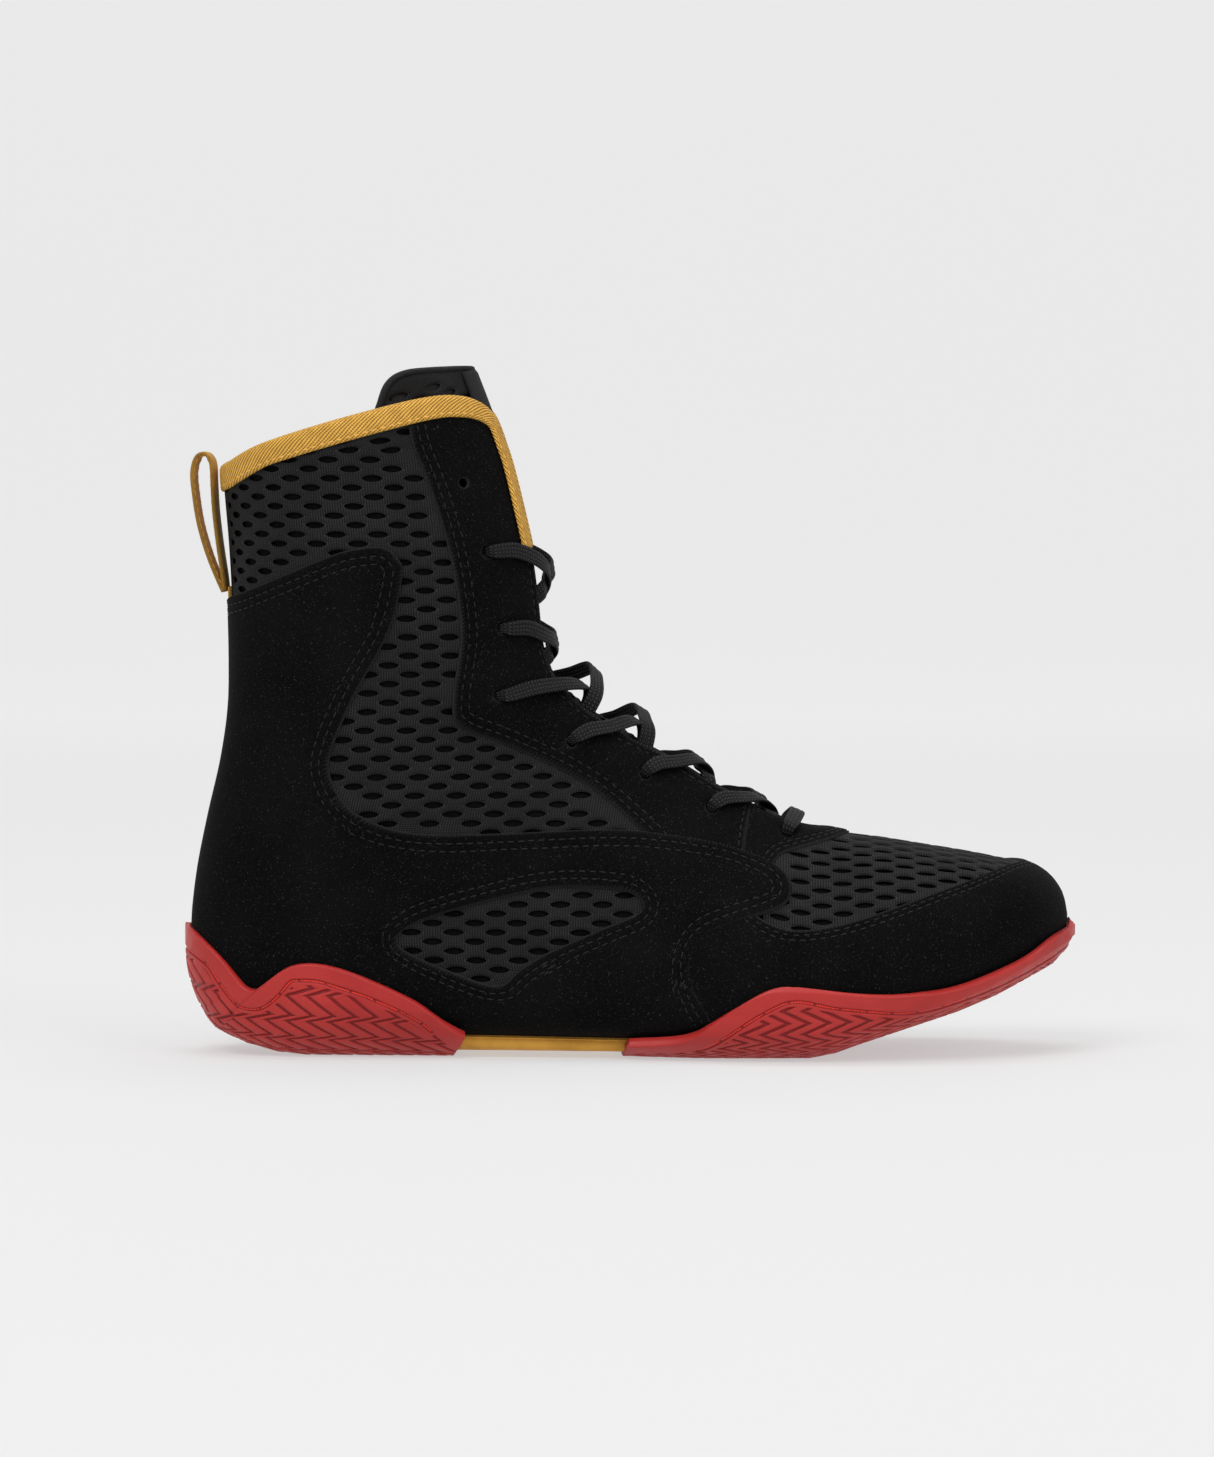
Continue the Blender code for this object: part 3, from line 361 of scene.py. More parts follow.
def triangulated(points, polygon_edges, keep):
    """Delaunay triangles of 2-D points, with edges kept, where keep(centroids) is true."""
    result = delaunay_2d_cdt([Vector(p) for p in points], polygon_edges, [], 0, 1e-7)
    flat = np.array([tuple(v) for v in result[0]])
    faces = np.array([face for face in result[2] if len(face) == 3])
    flat, faces = compact(flat, faces[keep(flat[faces].mean(axis=1))])
    a, b, c = (flat[faces[:, k]] for k in range(3))
    area = (b[:, 0] - a[:, 0]) * (c[:, 1] - a[:, 1]) - (b[:, 1] - a[:, 1]) * (c[:, 0] - a[:, 0])
    faces[area < 0] = faces[area < 0][:, ::-1]
    return flat, faces


def loop_edges(start, count):
    return [(start + i, start + (i + 1) % count) for i in range(count)]


def in_space(points):
    """The points, with a zero after each 2-D one."""
    return points if points.shape[1] == 3 else np.hstack([points, np.zeros((len(points), 1))])


def tree_of(points):
    tree = KDTree(len(points))
    for i, point in enumerate(in_space(points)):
        tree.insert(point, i)
    tree.balance()
    return tree


def distances(tree, points):
    return np.array([tree.find(point)[2] for point in in_space(points)])


def grid_of(across, along):
    return np.stack(np.meshgrid(across, along, indexing="ij"), axis=-1).reshape(-1, 2)


def filled(ring, across, along, margin):
    """Triangles inside a closed ring, on a grid of places, and how far each point is from the ring."""
    edge, grid = tree_of(ring), grid_of(across, along)
    grid = grid[inside(grid, ring)]
    grid = grid[distances(edge, grid) > margin]
    flat, faces = triangulated(np.vstack([ring, grid]), loop_edges(0, len(ring)), lambda at: inside(at, ring))
    return flat, faces, distances(edge, flat)


def beside(chart, line, distance):
    """The chart line moved to its left along the surface, by a distance in millimetres."""
    ahead = np.gradient(line, axis=0)
    here = chart(line)
    step = 1e-3
    along_u = (chart(line + [step, 0]) - here) / step
    along_v = (chart(line + [0, step]) - here) / step
    run = along_u * ahead[:, :1] + along_v * ahead[:, 1:]
    left = np.cross(np.cross(along_u, along_v), run)
    left /= np.maximum(np.linalg.norm(left, axis=1), 1e-9)[:, None]
    uu, uv, vv = (along_u**2).sum(1), (along_u * along_v).sum(1), (along_v**2).sum(1)
    lu, lv = (along_u * left).sum(1), (along_v * left).sum(1)
    scale = distance / np.maximum(uu * vv - uv**2, 1e-9)
    return line + np.stack([(vv * lu - uv * lv) * scale, (uu * lv - uv * lu) * scale], axis=1)


def skin_chart(uv, offset=0.0):
    """Chart of the loft in (t, angle)."""
    return skin(uv[:, 0], uv[:, 1], offset)


def merged(parts):
    """One mesh from (points, faces) parts."""
    faces, base = [], 0
    for part, part_faces in parts:
        faces += [[i + base for i in face] for face in part_faces]
        base += len(part)
    return np.vstack([part for part, _ in parts]), faces


STITCH_RING = 6
# place along a stitch and share of its width
STITCH_SHAPE = ((-0.5, 0.15), (-0.38, 0.8), (0.0, 1.0), (0.38, 0.8), (0.5, 0.15))


def stitches(name, lines, material, length=2.3, gap=1.0, width=0.55, **kwargs):
    """Capsules laid along 3-D lines, given as (points, normals)."""
    parts = []
    turns = np.arange(STITCH_RING) * 2 * math.pi / STITCH_RING
    count = len(STITCH_SHAPE) * STITCH_RING
    faces = [
        [a + k, a + k + STITCH_RING, a + n + STITCH_RING, a + n]
        for a in range(0, count - STITCH_RING, STITCH_RING)
        for k, n in loop_edges(0, STITCH_RING)
    ]
    faces += [list(range(STITCH_RING)), [count - 1 - k for k in range(STITCH_RING)]]
    for points, ups in lines:
        runs = arc_length(points)
        for start in np.arange(gap, runs[-1] - length, length + gap):
            tail, head = read_at([start, start + length], runs, points)
            up = read_at([start + length / 2], runs, ups)[0]
            run = head - tail
            run /= np.linalg.norm(run)
            up -= run * up.dot(run)
            up /= np.linalg.norm(up)
            side = np.cross(run, up)
            middle = (tail + head) / 2
            rings = [
                middle + run * along * length
                + (np.cos(turns)[:, None] * side + np.sin(turns)[:, None] * up * 0.8) * wide * width / 2
                - up * (abs(along) ** 2 * 0.5)
                for along, wide in STITCH_SHAPE
            ]
            parts.append((np.vstack(rings), faces))
    mesh_piece(name, *merged(parts), material, **kwargs)


# --- materials -----------------------------------------------------------------------------------


class Nodes:
    """Short calls for building one material."""

    def __init__(self, name, colour, roughness, **sockets):
        self.material = bpy.data.materials.new(name)
        self.material.use_nodes = True
        self.tree = self.material.node_tree
        self.shader = self.tree.nodes["Principled BSDF"]
        self.set("Base Color", (*colour, 1.0))
        self.set("Roughness", roughness)
        for key, value in sockets.items():
            self.set(key.replace("_", " "), value)

    def set(self, socket, value):
        self.shader.inputs[socket].default_value = value

    def link(self, output, node_input):
        self.tree.links.new(output, node_input)

    def node(self, kind, inputs=(), **settings):
        node = self.tree.nodes.new("ShaderNode" + kind)
        for key, value in settings.items():
            setattr(node, key, value)
        for key, value in dict(inputs).items():
            if isinstance(value, bpy.types.NodeSocket):
                self.link(value, node.inputs[key])
            else:
                node.inputs[key].default_value = value
        return node

    def math(self, operation, *values):
        return self.node("Math", dict(enumerate(values)), operation=operation).outputs[0]

    def split(self, attribute=None):
        """The three coordinates of an attribute, or of the place in the object."""
        return self.node("SeparateXYZ", {0: self.coordinates(attribute)}).outputs

    def times(self, first, second):
        return self.math("MULTIPLY", first, second)

    def coordinates(self, attribute=None):
        if attribute:
            return self.node("Attribute", attribute_name=attribute).outputs["Vector"]
        return self.node("TexCoord").outputs["Object"]

    def number(self, attribute):
        return self.node("Attribute", attribute_name=attribute).outputs["Fac"]

    def noise(self, scale, detail=2.0):
        inputs = {"Scale": scale, "Detail": detail, "Vector": self.coordinates()}
        return self.node("TexNoise", inputs).outputs["Fac"]

    def remap(self, value, low, high, new_low=0.0, new_high=1.0):
        inputs = {"Value": value, "From Min": low, "From Max": high, "To Min": new_low, "To Max": new_high}
        return self.node("MapRange", inputs).outputs["Result"]

    def mix(self, factor, first, second):
        node = self.node("Mix", data_type="RGBA")
        for index, value in ((0, factor), (6, first), (7, second)):
            if isinstance(value, bpy.types.NodeSocket):
                self.link(value, node.inputs[index])
            elif index:
                node.inputs[index].default_value = (*value, 1.0)
            else:
                node.inputs[index].default_value = value
        return node.outputs[2]

    def bump(self, height, strength, distance):
        node = self.node("Bump", {"Height": height, "Strength": strength, "Distance": distance * MM})
        self.link(node.outputs["Normal"], self.shader.inputs["Normal"])

    def colour(self, value):
        self.link(value, self.shader.inputs["Base Color"])

    def rough(self, value):
        self.link(value, self.shader.inputs["Roughness"])

    def waves(self, value, pitch, phase=0.0):
        """0 to 1 ridges with a pitch, across a coordinate."""
        turned = self.math("MULTIPLY_ADD", value, 2 * math.pi / pitch, phase)
        return self.math("MULTIPLY_ADD", self.math("SINE", turned), 0.5, 0.5)


def suede_material():
    m = Nodes("suede", (0.006, 0.0058, 0.0058), 0.95, Specular_IOR_Level=0.05, Sheen_Weight=0.02, Sheen_Roughness=0.4)
    m.set("Sheen Tint", (0.8, 0.76, 0.76, 1.0))
    fine, coarse = m.noise(2300.0, 3.0), m.noise(45.0, 3.0)
    specks = m.remap(m.noise(1900.0, 1.0), 0.66, 0.74)
    nap = m.mix(m.remap(coarse, 0.35, 0.7), (0.0017, 0.0016, 0.0016), (0.0038, 0.0036, 0.0036))
    fuzz = m.mix(m.remap(fine, 0.45, 0.75), nap, (0.0062, 0.0058, 0.0058))
    # Painted highlight: the colour turns lighter along the cut edges, read from mark, for the light caught by the
    # rounded edges.
    highlighted_edges = m.mix(m.times(m.number("mark"), 0.6), fuzz, (0.040, 0.037, 0.036))
    m.colour(m.mix(m.times(specks, 0.5), highlighted_edges, (0.055, 0.051, 0.051)))
    m.bump(m.math("ADD", fine, m.times(coarse, 0.8)), 0.6, 0.2)
    return m.material


def knit_material(name, light, dark):
    """Vertical ribs broken into short loops; the cloth coordinates bend round the holes."""
    m = Nodes(name, light, 0.7, Specular_IOR_Level=0.2)
    rib = 0.85
    across, up, edge = m.split("cloth")
    ribs = m.waves(across, rib)
    loops = m.waves(up, rib * 0.8, 0.7)
    yarn = m.times(m.math("POWER", ribs, 0.7), m.math("MULTIPLY_ADD", loops, 0.65, 0.35))
    rim = m.remap(edge, 0.15, 0.9, 1.0, 0.0)
    height = m.math("MAXIMUM", yarn, m.times(rim, m.waves(m.math("ADD", across, up), rib)))
    # Colour follows the height: the raised ribs and the rims round the holes get a painted highlight, the gaps painted
    # shade, and noise adds random tone.
    shade_and_tone = m.times(m.math("POWER", height, 1.5), m.remap(m.noise(60.0), 0.3, 0.7, 0.6, 1.1))
    m.colour(m.mix(shade_and_tone, dark, light))
    m.bump(height, 0.9, 0.22)
    return m.material


def twill_material(name, light, dark, pitch=1.8):
    m = Nodes(name, light, 0.7, Specular_IOR_Level=0.3)
    along, across, _ = m.split("cloth")
    diagonal = m.waves(m.math("MULTIPLY_ADD", across, 1.5, along), pitch)
    threads = m.waves(m.math("MULTIPLY_ADD", across, -0.6, along), pitch * 0.5)
    height = m.math("MULTIPLY_ADD", diagonal, 0.7, m.times(threads, 0.3))
    # Colour follows the height: painted shade in the weave's low places, with noise for random tone.
    shade_and_tone = m.times(m.remap(height, 0.12, 0.7), m.remap(m.noise(300.0), 0.3, 0.7, 0.75, 1.1))
    m.colour(m.mix(shade_and_tone, dark, light))
    m.bump(height, 0.9, 0.25)
    return m.material


def braid_material():
    """Herringbone braid: diagonals that lean the other way on each lengthwise band."""
    m = Nodes("lace", (0.02, 0.02, 0.021), 0.6, Specular_IOR_Level=0.2)
    along, across, _ = m.split("cloth")
    band = 1.3
    strands = m.waves(m.math("MULTIPLY_ADD", m.math("PINGPONG", across, band / 2), 1.7, along), 1.25)
    grooves = m.remap(m.math("PINGPONG", across, band / 2), 0.04, 0.4)
    height = m.times(strands, m.math("MULTIPLY_ADD", grooves, 0.85, 0.15))
    # Colour follows the height: painted shade between the strands and in the grooves between the bands.
    m.colour(m.mix(m.math("POWER", height, 2.0), (0.0003, 0.0003, 0.0004), (0.048, 0.048, 0.050)))
    m.bump(height, 1.0, 0.45)
    return m.material


def rubber_material():
    """Moulded rubber: zig-zag grooves and a sunk line painted dark, partly as painted shade in the recesses and partly
    as dark paint and dirt, and a row of bright beads on the line.

    The cloth coordinates are the place across the zig-zags, the size of one in millimetres and the
    distance from the line; mark is the place along the line."""
    m = Nodes("rubber", (0.44, 0.032, 0.028), 0.45, Specular_IOR_Level=0.3)
    place, size, gap = m.split("cloth")
    part = m.math("PINGPONG", place, 0.5)
    # Masks where the colour is darkened: painted shade in the grooves and along the sunk line, partly also dark paint
    # and dirt in them.
    groove = m.remap(m.times(part, size), 0.42, 0.62, 1.0, 0.0)
    field = m.remap(gap, -1.75, -1.35, 1.0, 0.0)
    line = m.remap(m.math("ABSOLUTE", gap), 0.5, 0.65, 1.0, 0.0)
    dark = m.math("MAXIMUM", m.times(groove, field), line)
    along = m.number("mark")
    dashes = m.math("LESS_THAN", m.math("FRACT", m.times(along, 1 / 8.4)), 0.9)
    beads = m.times(dashes, m.remap(m.waves(along, 0.9), 0.1, 0.6, 0.25, 1.0))
    bright = m.times(beads, m.remap(m.math("ABSOLUTE", m.math("ADD", gap, -0.02)), 0.22, 0.34, 1.0, 0.0))
    cloudy = m.mix(m.remap(m.noise(38.0, 3.0), 0.3, 0.7), (0.37, 0.019, 0.017), (0.45, 0.029, 0.025))
    groove_shade_and_dirt = m.mix(m.times(dark, 0.95), cloudy, (0.19, 0.0030, 0.0035))
    m.colour(m.mix(bright, groove_shade_and_dirt, (0.85, 0.035, 0.018)))
    m.rough(m.remap(m.noise(240.0, 3.0), 0.3, 0.7, 0.38, 0.55))
    m.bump(m.math("SUBTRACT", m.times(m.noise(900.0, 2.0), 0.15), dark), 0.5, 0.35)
    return m.material


def foam_material(name, colour, dark):
    m = Nodes(name, colour, 0.75, Specular_IOR_Level=0.3)
    pores = m.node("TexVoronoi", {"Scale": 900.0, "Vector": m.coordinates()}).outputs["Distance"]
    m.colour(m.mix(m.remap(m.noise(120.0, 3.0), 0.35, 0.7), colour, dark))
    m.bump(pores, 0.35, 0.2)
    return m.material


def cloth_material(name, light, dark, pitch=0.9):
    """Plain jersey in object space, for linings and hidden layers."""
    m = Nodes(name, light, 0.9, Specular_IOR_Level=0.1)
    x, y, z = m.split()
    rows = m.waves(z, pitch * MM)
    columns = m.waves(m.math("ADD", x, y), pitch * MM)
    height = m.times(rows, columns)
    # Colour follows the height: painted shade in the knit's low places, with noise for random tone.
    m.colour(m.mix(m.times(height, m.remap(m.noise(90.0), 0.3, 0.7, 0.6, 1.2)), dark, light))
    m.bump(height, 0.5, 0.2)
    return m.material


SUEDE = suede_material()
MESH = knit_material("mesh", (0.030, 0.030, 0.032), (0.0006, 0.0006, 0.0008))
BACKING = cloth_material("lining", (0.008, 0.008, 0.0085), (0.002, 0.002, 0.002))
UNDERKNIT = cloth_material("lining", (0.0035, 0.0035, 0.0036), (0.0015, 0.0015, 0.0015), 0.5)
GOLD_TAPE = twill_material("gold_tape", (0.76, 0.43, 0.070), (0.20, 0.080, 0.008))
GOLD_FOAM = foam_material("gold_foam", (0.66, 0.33, 0.05), (0.5, 0.24, 0.03))
RUBBER = rubber_material()
LACE = braid_material()
FOAM = foam_material("foam", (0.012, 0.012, 0.0125), (0.006, 0.006, 0.006))
BOARD = cloth_material("board", (0.42, 0.36, 0.27), (0.25, 0.21, 0.15), 1.4)
STIFFENER = cloth_material("stiffener", (0.020, 0.020, 0.021), (0.008, 0.008, 0.008), 1.2)
LABEL = twill_material("label", (0.012, 0.012, 0.013), (0.004, 0.004, 0.0045), 0.5)
THREAD = Nodes("thread", (0.010, 0.0097, 0.0097), 0.6, Specular_IOR_Level=0.2).material
GOLD_THREAD = Nodes("gold_thread", (0.80, 0.42, 0.08), 0.55, Specular_IOR_Level=0.4).material


# --- suede panels --------------------------------------------------------------------------------


def to_chart(points, side):
    """Side outline to (t, angle)."""
    points = np.asarray(points)
    return np.stack(locate(points[:, 0], points[:, 1], side), axis=1)


def spaced_on_skin(line, step, closed=False):
    """Chart polyline of the loft, resampled at equal steps on the surface."""
    if closed:
        line = np.vstack([line, line[:1]])
    fine = np.concatenate([np.linspace(a, b, 9)[:-1] for a, b in zip(line, line[1:])] + [line[-1:]])
    runs = arc_length(skin_chart(fine))
    count = max(int(round(runs[-1] / step)), 2)
    result = read_at(np.linspace(0, runs[-1], count + 1), runs, fine)
    return result[:-1] if closed else result


def fill_points(polygon, step):
    """Chart points inside the polygon, about a step apart on the loft."""
    rows = []
    low, high = polygon.min(axis=0), polygon.max(axis=0)
    angles, few = (np.linspace(low[1], high[1], count) for count in (120, 5))
    t = low[0]
    while t < high[0]:
        runs = arc_length(skin(np.full(len(angles), t), angles))
        count = int(runs[-1] / step)
        if count > 1:
            places = (np.arange(count) + (0.5 if len(rows) % 2 else 0.25)) * step
            rows.append(np.stack([np.full(count, t), np.interp(places, runs, angles)], axis=1))
        # on to the next row, about nine tenths of a step further along
        spread = np.linalg.norm(skin(np.full(5, t + 0.1), few) - skin(np.full(5, t), few), axis=1)
        t += 0.1 * step * 0.9 / max(np.median(spread), 0.15)
    points = np.vstack(rows)
    return points[inside(points, polygon)]


# Distances from a cut edge of extra point rows, which round it
RINGS = (0.25, 0.6, 1.1)
ROUND = 18
EDGE_STEP = 1.2
# rows across a line of stitches, which sink it
SEAM_ROWS = (-0.7, -0.35, 0.0, 0.35, 0.7)


def suede_panel(
    name, outline, holes, rise, nodes, sewn=(), material=SUEDE, floor=-0.5, step=2.6, rounds=(), slot="suede"
):
    """Panel on the loft: chart outline and holes, outer face at rise, rounded edges and sunk stitch rows.

    sewn holds (chart line, distances); rounds holds eyelet (chart place, radius)."""
    loops = [spaced_on_skin(loop, EDGE_STEP, True) for loop in (outline, *holes)]
    turns = np.arange(ROUND) * 2 * math.pi / ROUND
    for place, radius in rounds:
        here = np.repeat([place], ROUND, axis=0)
        step_t = beside(skin_chart, np.array([place, np.add(place, [0.01, 0])]), 1.0)[0] - place
        step_a = beside(skin_chart, np.array([place, np.add(place, [0, 0.01])]), 1.0)[0] - place
        loops.append(here + radius * (np.cos(turns)[:, None] * step_t + np.sin(turns)[:, None] * step_a))
    outer, cuts = loops[0], loops[1:]
    edge = tree_of(np.vstack([skin_chart(loop) for loop in loops]))

    def keep(points):
        mask = inside(points, outer)
        for cut in cuts:
            mask &= ~inside(points, cut)
        return mask

    points, edges = [], []
    for loop in loops:
        edges += loop_edges(sum(map(len, points)), len(loop))
        points.append(loop)
    extra = []
    for loop in loops:
        sign = 1 if inside(beside(skin_chart, loop, 0.3)[:1], outer)[0] else -1
        for distance in RINGS:
            for direction in (sign, -sign) if loop is not outer else (sign,):
                ring = beside(skin_chart, loop, direction * distance)
                ring = ring[keep(ring)]
                if len(ring):
                    extra.append(ring[distances(edge, skin_chart(ring)) > distance * 0.9])
    threads = []
    for line, gaps in sewn:
        line = spaced_on_skin(line, EDGE_STEP)
        for gap in gaps:
            threads.append(beside(skin_chart, line, gap))
            for spread in SEAM_ROWS:
                ring = beside(skin_chart, line, gap + spread)
                ring = ring[keep(ring)]
                extra.append(ring[distances(edge, skin_chart(ring)) > 1.3])
    extra = np.vstack(extra)
    grid = fill_points(outer, step)
    grid = grid[keep(grid)]
    grid = grid[distances(edge, skin_chart(grid)) > RINGS[-1] + 0.6]
    if threads:
        seam = tree_of(np.vstack([skin_chart(line) for line in threads]))
        grid = grid[distances(seam, skin_chart(grid)) > 1.2]
    flat, faces = triangulated(np.vstack(points + [extra, grid]), edges, keep)
    base = skin_chart(flat)
    gap = distances(edge, base)
    height = rise - (rise * 0.62) * np.clip(1 - gap / RINGS[-1], 0, 1) ** 2
    if threads:
        near = distances(seam, base)
        height -= 0.32 * np.clip(1 - near / 0.75, 0, 1)
        height += 0.10 * np.exp(-((near - 1.6) / 0.7) ** 2)
    up = normals(*flat.T)
    points, faces = thickened(base + up * height[:, None], faces, base + up * floor)
    # Painted highlight: a mask that lightens the suede's colour within 0.45 mm of each cut edge.
    edge_highlight = np.clip(1 - gap / 0.45, 0, 1)
    mesh_piece(name, points, faces, material, mark=np.concatenate([edge_highlight, edge_highlight]), nodes=nodes, slot=slot)
    if threads:
        lines = [(skin_chart(line, rise - 0.12), normals(*line.T)) for line in threads]
        stitches(name + "_stitches", lines, THREAD, slot=slot)


# Angle at which the panels end, curled a little under the foot
CURLED = math.pi - 0.42


def under_edge(first, last, side, count=12):
    """Hidden lower edge of a panel, from section first to last."""
    return np.stack([np.linspace(first, last, count), np.full(count, side * CURLED)], axis=1)


def make_quarter():
    edge = smoothed(QUARTER_EDGE)
    medial, lateral = to_chart(edge, MEDIAL), to_chart(edge, LATERAL)
    medial[0, 1], lateral[0, 1] = math.pi, -math.pi
    lateral[:, 1] += 2 * math.pi
    front_t = medial[-1, 0]
    low_medial, low_lateral = under_edge(front_t, 11.6, 1), under_edge(11.6, front_t, 1)
    low_lateral[:, 1] = 2 * math.pi - low_lateral[:, 1]
    heel = np.array([(11.0, math.pi)])
    outline = np.vstack([medial[::-1], lateral[1:], low_lateral[::-1], heel, low_medial[::-1]])
    windows, sewn = [], [(np.vstack([medial[::-1], lateral[1:]]), (-3.0, -5.6))]
    for side in (MEDIAL, LATERAL):
        window = to_chart(smoothed([*WINDOW, WINDOW[0]])[:-1], side)
        if side == LATERAL:
            window[:, 1] += 2 * math.pi
        windows.append(window)
        closed = np.vstack([window, window[:2]])
        sewn.append((closed, (2.6, 5.0) if side == LATERAL else (-2.6, -5.0)))
    suede_panel("quarter_suede", outline, windows, QUARTER, ("lateral_suede_quarter", "medial_suede_quarter"), sewn)


def make_toe_cap():
    top = smoothed(TOE_CAP_TOP)
    lobe = smoothed(QUARTER_EDGE[LOBE_START:])
    # under the quarter's front lobe, well inside its edge
    rear = [(x - 7.0, z) for x, z in lobe if z < 46.0]
    halves = []
    for side in (LATERAL, MEDIAL):
        upper = to_chart(top, side)
        upper[-1, 1] = 0.0
        back = to_chart(rear, side)
        halves.append((upper, back, under_edge(back[-1, 0], TOE - 0.03, side, 14)))
    (upper, back, bottom), (upper_m, back_m, bottom_m) = halves
    tip = np.stack([np.full(20, TOE - 0.015), np.linspace(-CURLED, CURLED, 20)], axis=1)
    outline = np.vstack([upper[::-1], back, bottom, tip, bottom_m[::-1], back_m[::-1], upper_m[:-1]])
    line = np.vstack([upper, upper_m[:-1][::-1]])
    suede_panel("toe_cap_suede", outline, [], LEATHER, ("toe_cap",), [(line, (-1.9, -3.6))])


def throat_line(first, last, side, extra=0.0):
    ts = np.linspace(first, last, 40)
    return np.stack([ts, side * throat_angle(ts, extra)], axis=1)


def make_eyestays():
    collar = smoothed(COLLAR)
    for side_name, side in (("lateral", LATERAL), ("medial", MEDIAL)):
        top = to_chart([p for p in collar if p[0] > -71.0], side)
        rear = to_chart(smoothed(EYESTAY_REAR), side)
        seam = to_chart(smoothed(THROAT_SEAM), side)
        front = throat_line(top[-1, 0] + 0.1, seam[0, 0], side)
        low = to_chart([(24.0, 66.0), (15.0, 67.0)], side)
        outline = np.vstack([top, front, seam[1:], low, rear[::-1]])
        sign = -side
        rounds = [(np.array(locate(x, z, side)).ravel(), 1.6 if z > 180 else 2.1) for x, z in EYELETS[1:]]
        sewn = [(rear, (sign * 2.6, sign * 5.2)), (seam, (-sign * 1.6,)), (front[2:], (-sign * 3.0,))]
        suede_panel(
            f"{side_name}_eyestay_suede", outline, [], LEATHER, (f"{side_name}_eyestay",), sewn, rounds=rounds
        )


def make_throat_piece():
    """Bridges the foot of the throat, over the ridge."""
    seam, seam_m = (to_chart(smoothed(THROAT_SEAM), side) for side in (LATERAL, MEDIAL))
    low, low_m = (to_chart(smoothed(THROAT_PIECE_LOW), side) for side in (LATERAL, MEDIAL))
    low[-1, 1] = low_m[-1, 1] = 0.0
    end_t = 17.0
    slot_l, slot_m = (throat_line(seam[0, 0], end_t, side) for side in (LATERAL, MEDIAL))
    turns = np.linspace(-math.pi / 2, math.pi / 2, 9)[1:-1]
    tip_angle = float(throat_angle(end_t)[0])
    tip = np.stack([end_t + 0.62 * np.cos(turns), tip_angle * np.sin(turns)], axis=1)
    inner = np.vstack([slot_l, tip, slot_m[::-1]])
    outline = np.vstack([inner, seam_m[1:], low_m[:-1], low[::-1], seam[1:][::-1]])
    rounds = [(np.array(locate(*EYELETS[0], side)).ravel(), 2.1) for side in (LATERAL, MEDIAL)]
    line = np.vstack([low, low_m[:-1][::-1]])
    suede_panel("throat_suede", outline, [], LEATHER, ("throat_piece",), [(line, (1.8, 3.6))], rounds=rounds)


# --- knit ----------------------------------------------------------------------------------------

# half length and half height of a hole, and the distances between holes
HOLE_LONG, HOLE_HIGH = 3.3, 1.08
COLUMN, ROW = 6.8, 6.0
# the backing's outer face, and the distance between points away from the holes
UNDERKNIT_FACE, KNIT_STEP = -1.4, 2.2


class Chart:
    """Surface as a table of points over a flat grid, with its outward directions."""

    def __init__(self, points, up, start, step):
        self.points, self.up, self.start, self.step = points, up, np.array(start, float), np.array(step, float)

    def pick(self, table, uv):
        at = (uv - self.start) / self.step
        at = np.clip(at, 0, np.array(table.shape[:2]) - 1.001)
        low = at.astype(int)
        part = at - low
        i, j = low.T
        p, q = part[:, :1], part[:, 1:]
        return (
            table[i, j] * (1 - p) * (1 - q) + table[i + 1, j] * p * (1 - q)
            + table[i, j + 1] * (1 - p) * q + table[i + 1, j + 1] * p * q
        )

    def __call__(self, uv, offset=0.0):
        up = unit(self.pick(self.up, uv))
        return self.pick(self.points, uv) + up * np.broadcast_to(offset, len(uv))[:, None]


def side_chart(side):
    """Side of the boot: distance round from the back seam at each height, and the height."""
    fine = np.linspace(0, TOE - 3, 400)
    ridge = section(fine)[::-1, :2]
    back = section(fine * 11.0 / (TOE - 3))[::-1, 2:4]
    heights = np.arange(4.0, 226.0, 2.0)
    around = np.arange(0.0, 190.0, 1.0)
    ts, angles, xs = [], [], []
    for z in heights:
        x_back = np.interp(z, back[:, 1], back[:, 0]) - 0.1
        x_front = min(np.interp(z, ridge[:, 1], ridge[:, 0]), 60.0)
        share = (1 - np.cos(np.linspace(0, math.pi, 160))) / 2
        x = x_back + (x_front - x_back) * share
        t, angle = locate(x, np.full(160, z), side)
        run = arc_length(on_skin(t, angle)[:, :2])
        ts.append(np.interp(around, run, t))
        angles.append(np.interp(around, run, angle))
        xs.append(np.interp(around, run, x) + np.maximum(around - run[-1], 0))
    t, angle, xs = np.array(ts).T, np.array(angles).T, np.array(xs).T
    points = on_skin(t.ravel(), angle.ravel()).reshape(*t.shape, 3)
    up = normals(t.ravel(), angle.ravel()).reshape(*t.shape, 3)

    def flat(outline):
        """Side outline (x, z) to this chart."""
        result = []
        for x, z in outline:
            row = np.clip((z - heights[0]) / 2.0, 0, len(heights) - 1.001)
            i, part = int(row), row - int(row)
            s = [np.interp(x, xs[:, k], around) for k in (i, i + 1)]
            result.append((s[0] * (1 - part) + s[1] * part, z))
        return np.array(result)

    return Chart(points, up, (0.0, heights[0]), (1.0, 2.0)), flat


